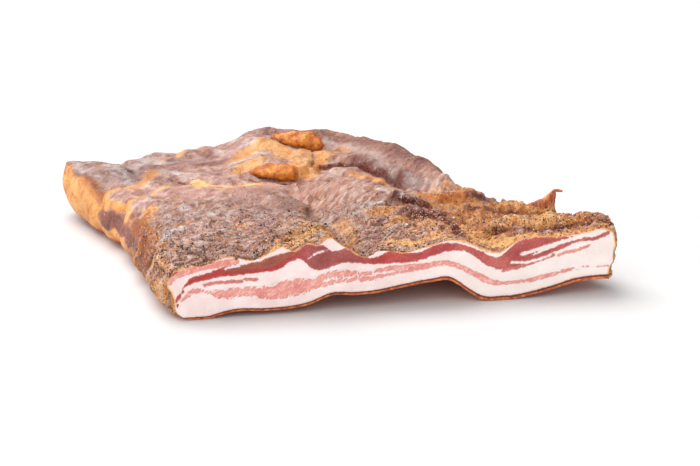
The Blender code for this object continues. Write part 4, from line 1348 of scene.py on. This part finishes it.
def dried_tip_material():
    g = Graph("dried_meat")
    fibres = g.noise(1, 4, 0.6, g.squeeze(7, 1.1, np.radians(-100)))
    fine = g.noise(1.2, 4, 0.65)
    blotches = g.noise(4, 3, 0.6)
    value = g.add(g.times(fibres, 0.35), g.times(fine, 0.3), g.times(blotches, 0.35))
    colour = g.ramp(
        value, (0.36, 98, 36, 24), (0.46, 152, 72, 44), (0.55, 200, 124, 74),
        (0.68, 230, 174, 118),
    )
    roughness = g.ease(fine, 0.3, 0.7, 0.5, 0.75)
    return g.finish(colour, roughness, [(fibres, 0.5), (fine, 0.3)])


def grain_material(name, grain):
    g = Graph(name)
    patchy = g.noise(0.9, 3, 0.6)
    colour = g.ramp(patchy, (0.35, *grain.dark), (0.65, *grain.light))
    return g.finish(colour, g.ease(patchy, 0.3, 0.7, 0.5, 0.8), [(g.noise(0.3, 2), 0.1)])


# The photograph was taken from here, in the slab's millimetres, looking down and to the right
CAMERA_PLACE = (-57.94, -861.16, 315.99)
CAMERA_DOWN = 17.0
CAMERA_RIGHT = 10.83
CAMERA_LENS = 80.0

# Very wide, even lights: the way to each, how many degrees it spreads over, and its strength
SOFT_LIGHTS = {
    "softbox behind": ((-0.3, 0.58, 1.0), 50, 3.0),
    "front fill": ((-0.2, -1.0, 0.5), 90, 1.7),
    "left fill": ((-1.0, 0.0, 0.6), 90, 1.2),
}
WORLD_LIGHT = 0.48

FLOOR_REACH = 14.0
FLOOR_DROP = 0.0003


def floor_material():
    g = Graph("white_table")
    grain = g.noise(3, 3)
    colour = g.ramp(grain, (0.3, 206, 205, 205), (0.7, 209, 208, 207))
    return g.finish(colour, g.ease(grain, 0.3, 0.7, 0.55, 0.65), [(grain, 0.02)])


def build_stage():
    """The white table, the soft light and the camera."""
    bpy.ops.mesh.primitive_plane_add(size=2 * FLOOR_REACH, location=(0, 0, -FLOOR_DROP))
    floor = bpy.context.object
    floor.name = "table"
    floor.data.materials.append(floor_material())

    world = bpy.data.worlds.new("white studio")
    world.use_nodes = True
    world.node_tree.nodes["Background"].inputs["Color"].default_value = (1, 1, 1, 1)
    world.node_tree.nodes["Background"].inputs["Strength"].default_value = WORLD_LIGHT
    bpy.context.scene.world = world

    for name, (spot, spread, strength) in SOFT_LIGHTS.items():
        light = bpy.data.lights.new(name, "SUN")
        light.angle = np.radians(spread)
        light.energy = strength
        lamp = bpy.data.objects.new(name, light)
        lamp.rotation_euler = (-Vector(spot)).to_track_quat("-Z", "Y").to_euler()
        bpy.context.scene.collection.objects.link(lamp)

    camera = bpy.data.cameras.new("camera")
    camera.lens = CAMERA_LENS
    camera.clip_end = 20
    eye = bpy.data.objects.new("camera", camera)
    eye.location = to_frame(np.array([CAMERA_PLACE]))[0]
    eye.rotation_euler = np.radians((90 - CAMERA_DOWN, 0, -CAMERA_RIGHT))
    bpy.context.scene.collection.objects.link(eye)
    bpy.context.scene.camera = eye
    bpy.context.scene.view_settings.view_transform = "Standard"


def main():
    meat, surface, channels = build_meat(shape)
    for made in (crust_material(), cut_material(), rind_material()):
        meat.data.materials.append(made)
    pieces = [(meat, "crust")]

    orange = smoked_fat_material("smoked_fat", ORANGE_FAT)
    tan = smoked_fat_material("pale_smoked_fat", TAN_FAT)
    tip = dried_tip_material()
    finishes = {"round_fat_lump": tan, "dried_tip": tip}
    for name, tongue in TONGUES.items():
        loose_end = build_tongue(name, tongue)
        loose_end.data.materials.append(finishes.get(name, orange))
        pieces.append((loose_end, "crust" if name == "dried_tip" else "fat"))

    chance = (0.03 + channels["pepper"] ** 1.5) * (0.4 + channels["creased"])
    for seed, (name, grain) in enumerate(GRAINS.items()):
        grains = scatter(name, grain, 100 + seed, surface, shape.top_faces, chance)
        grains.data.materials.append(grain_material(name, grain))
        pieces.append((grains, "spice"))

    for piece, slot in pieces:
        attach(piece, "root")
    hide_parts("bacon_slab")
    build_stage()


main()
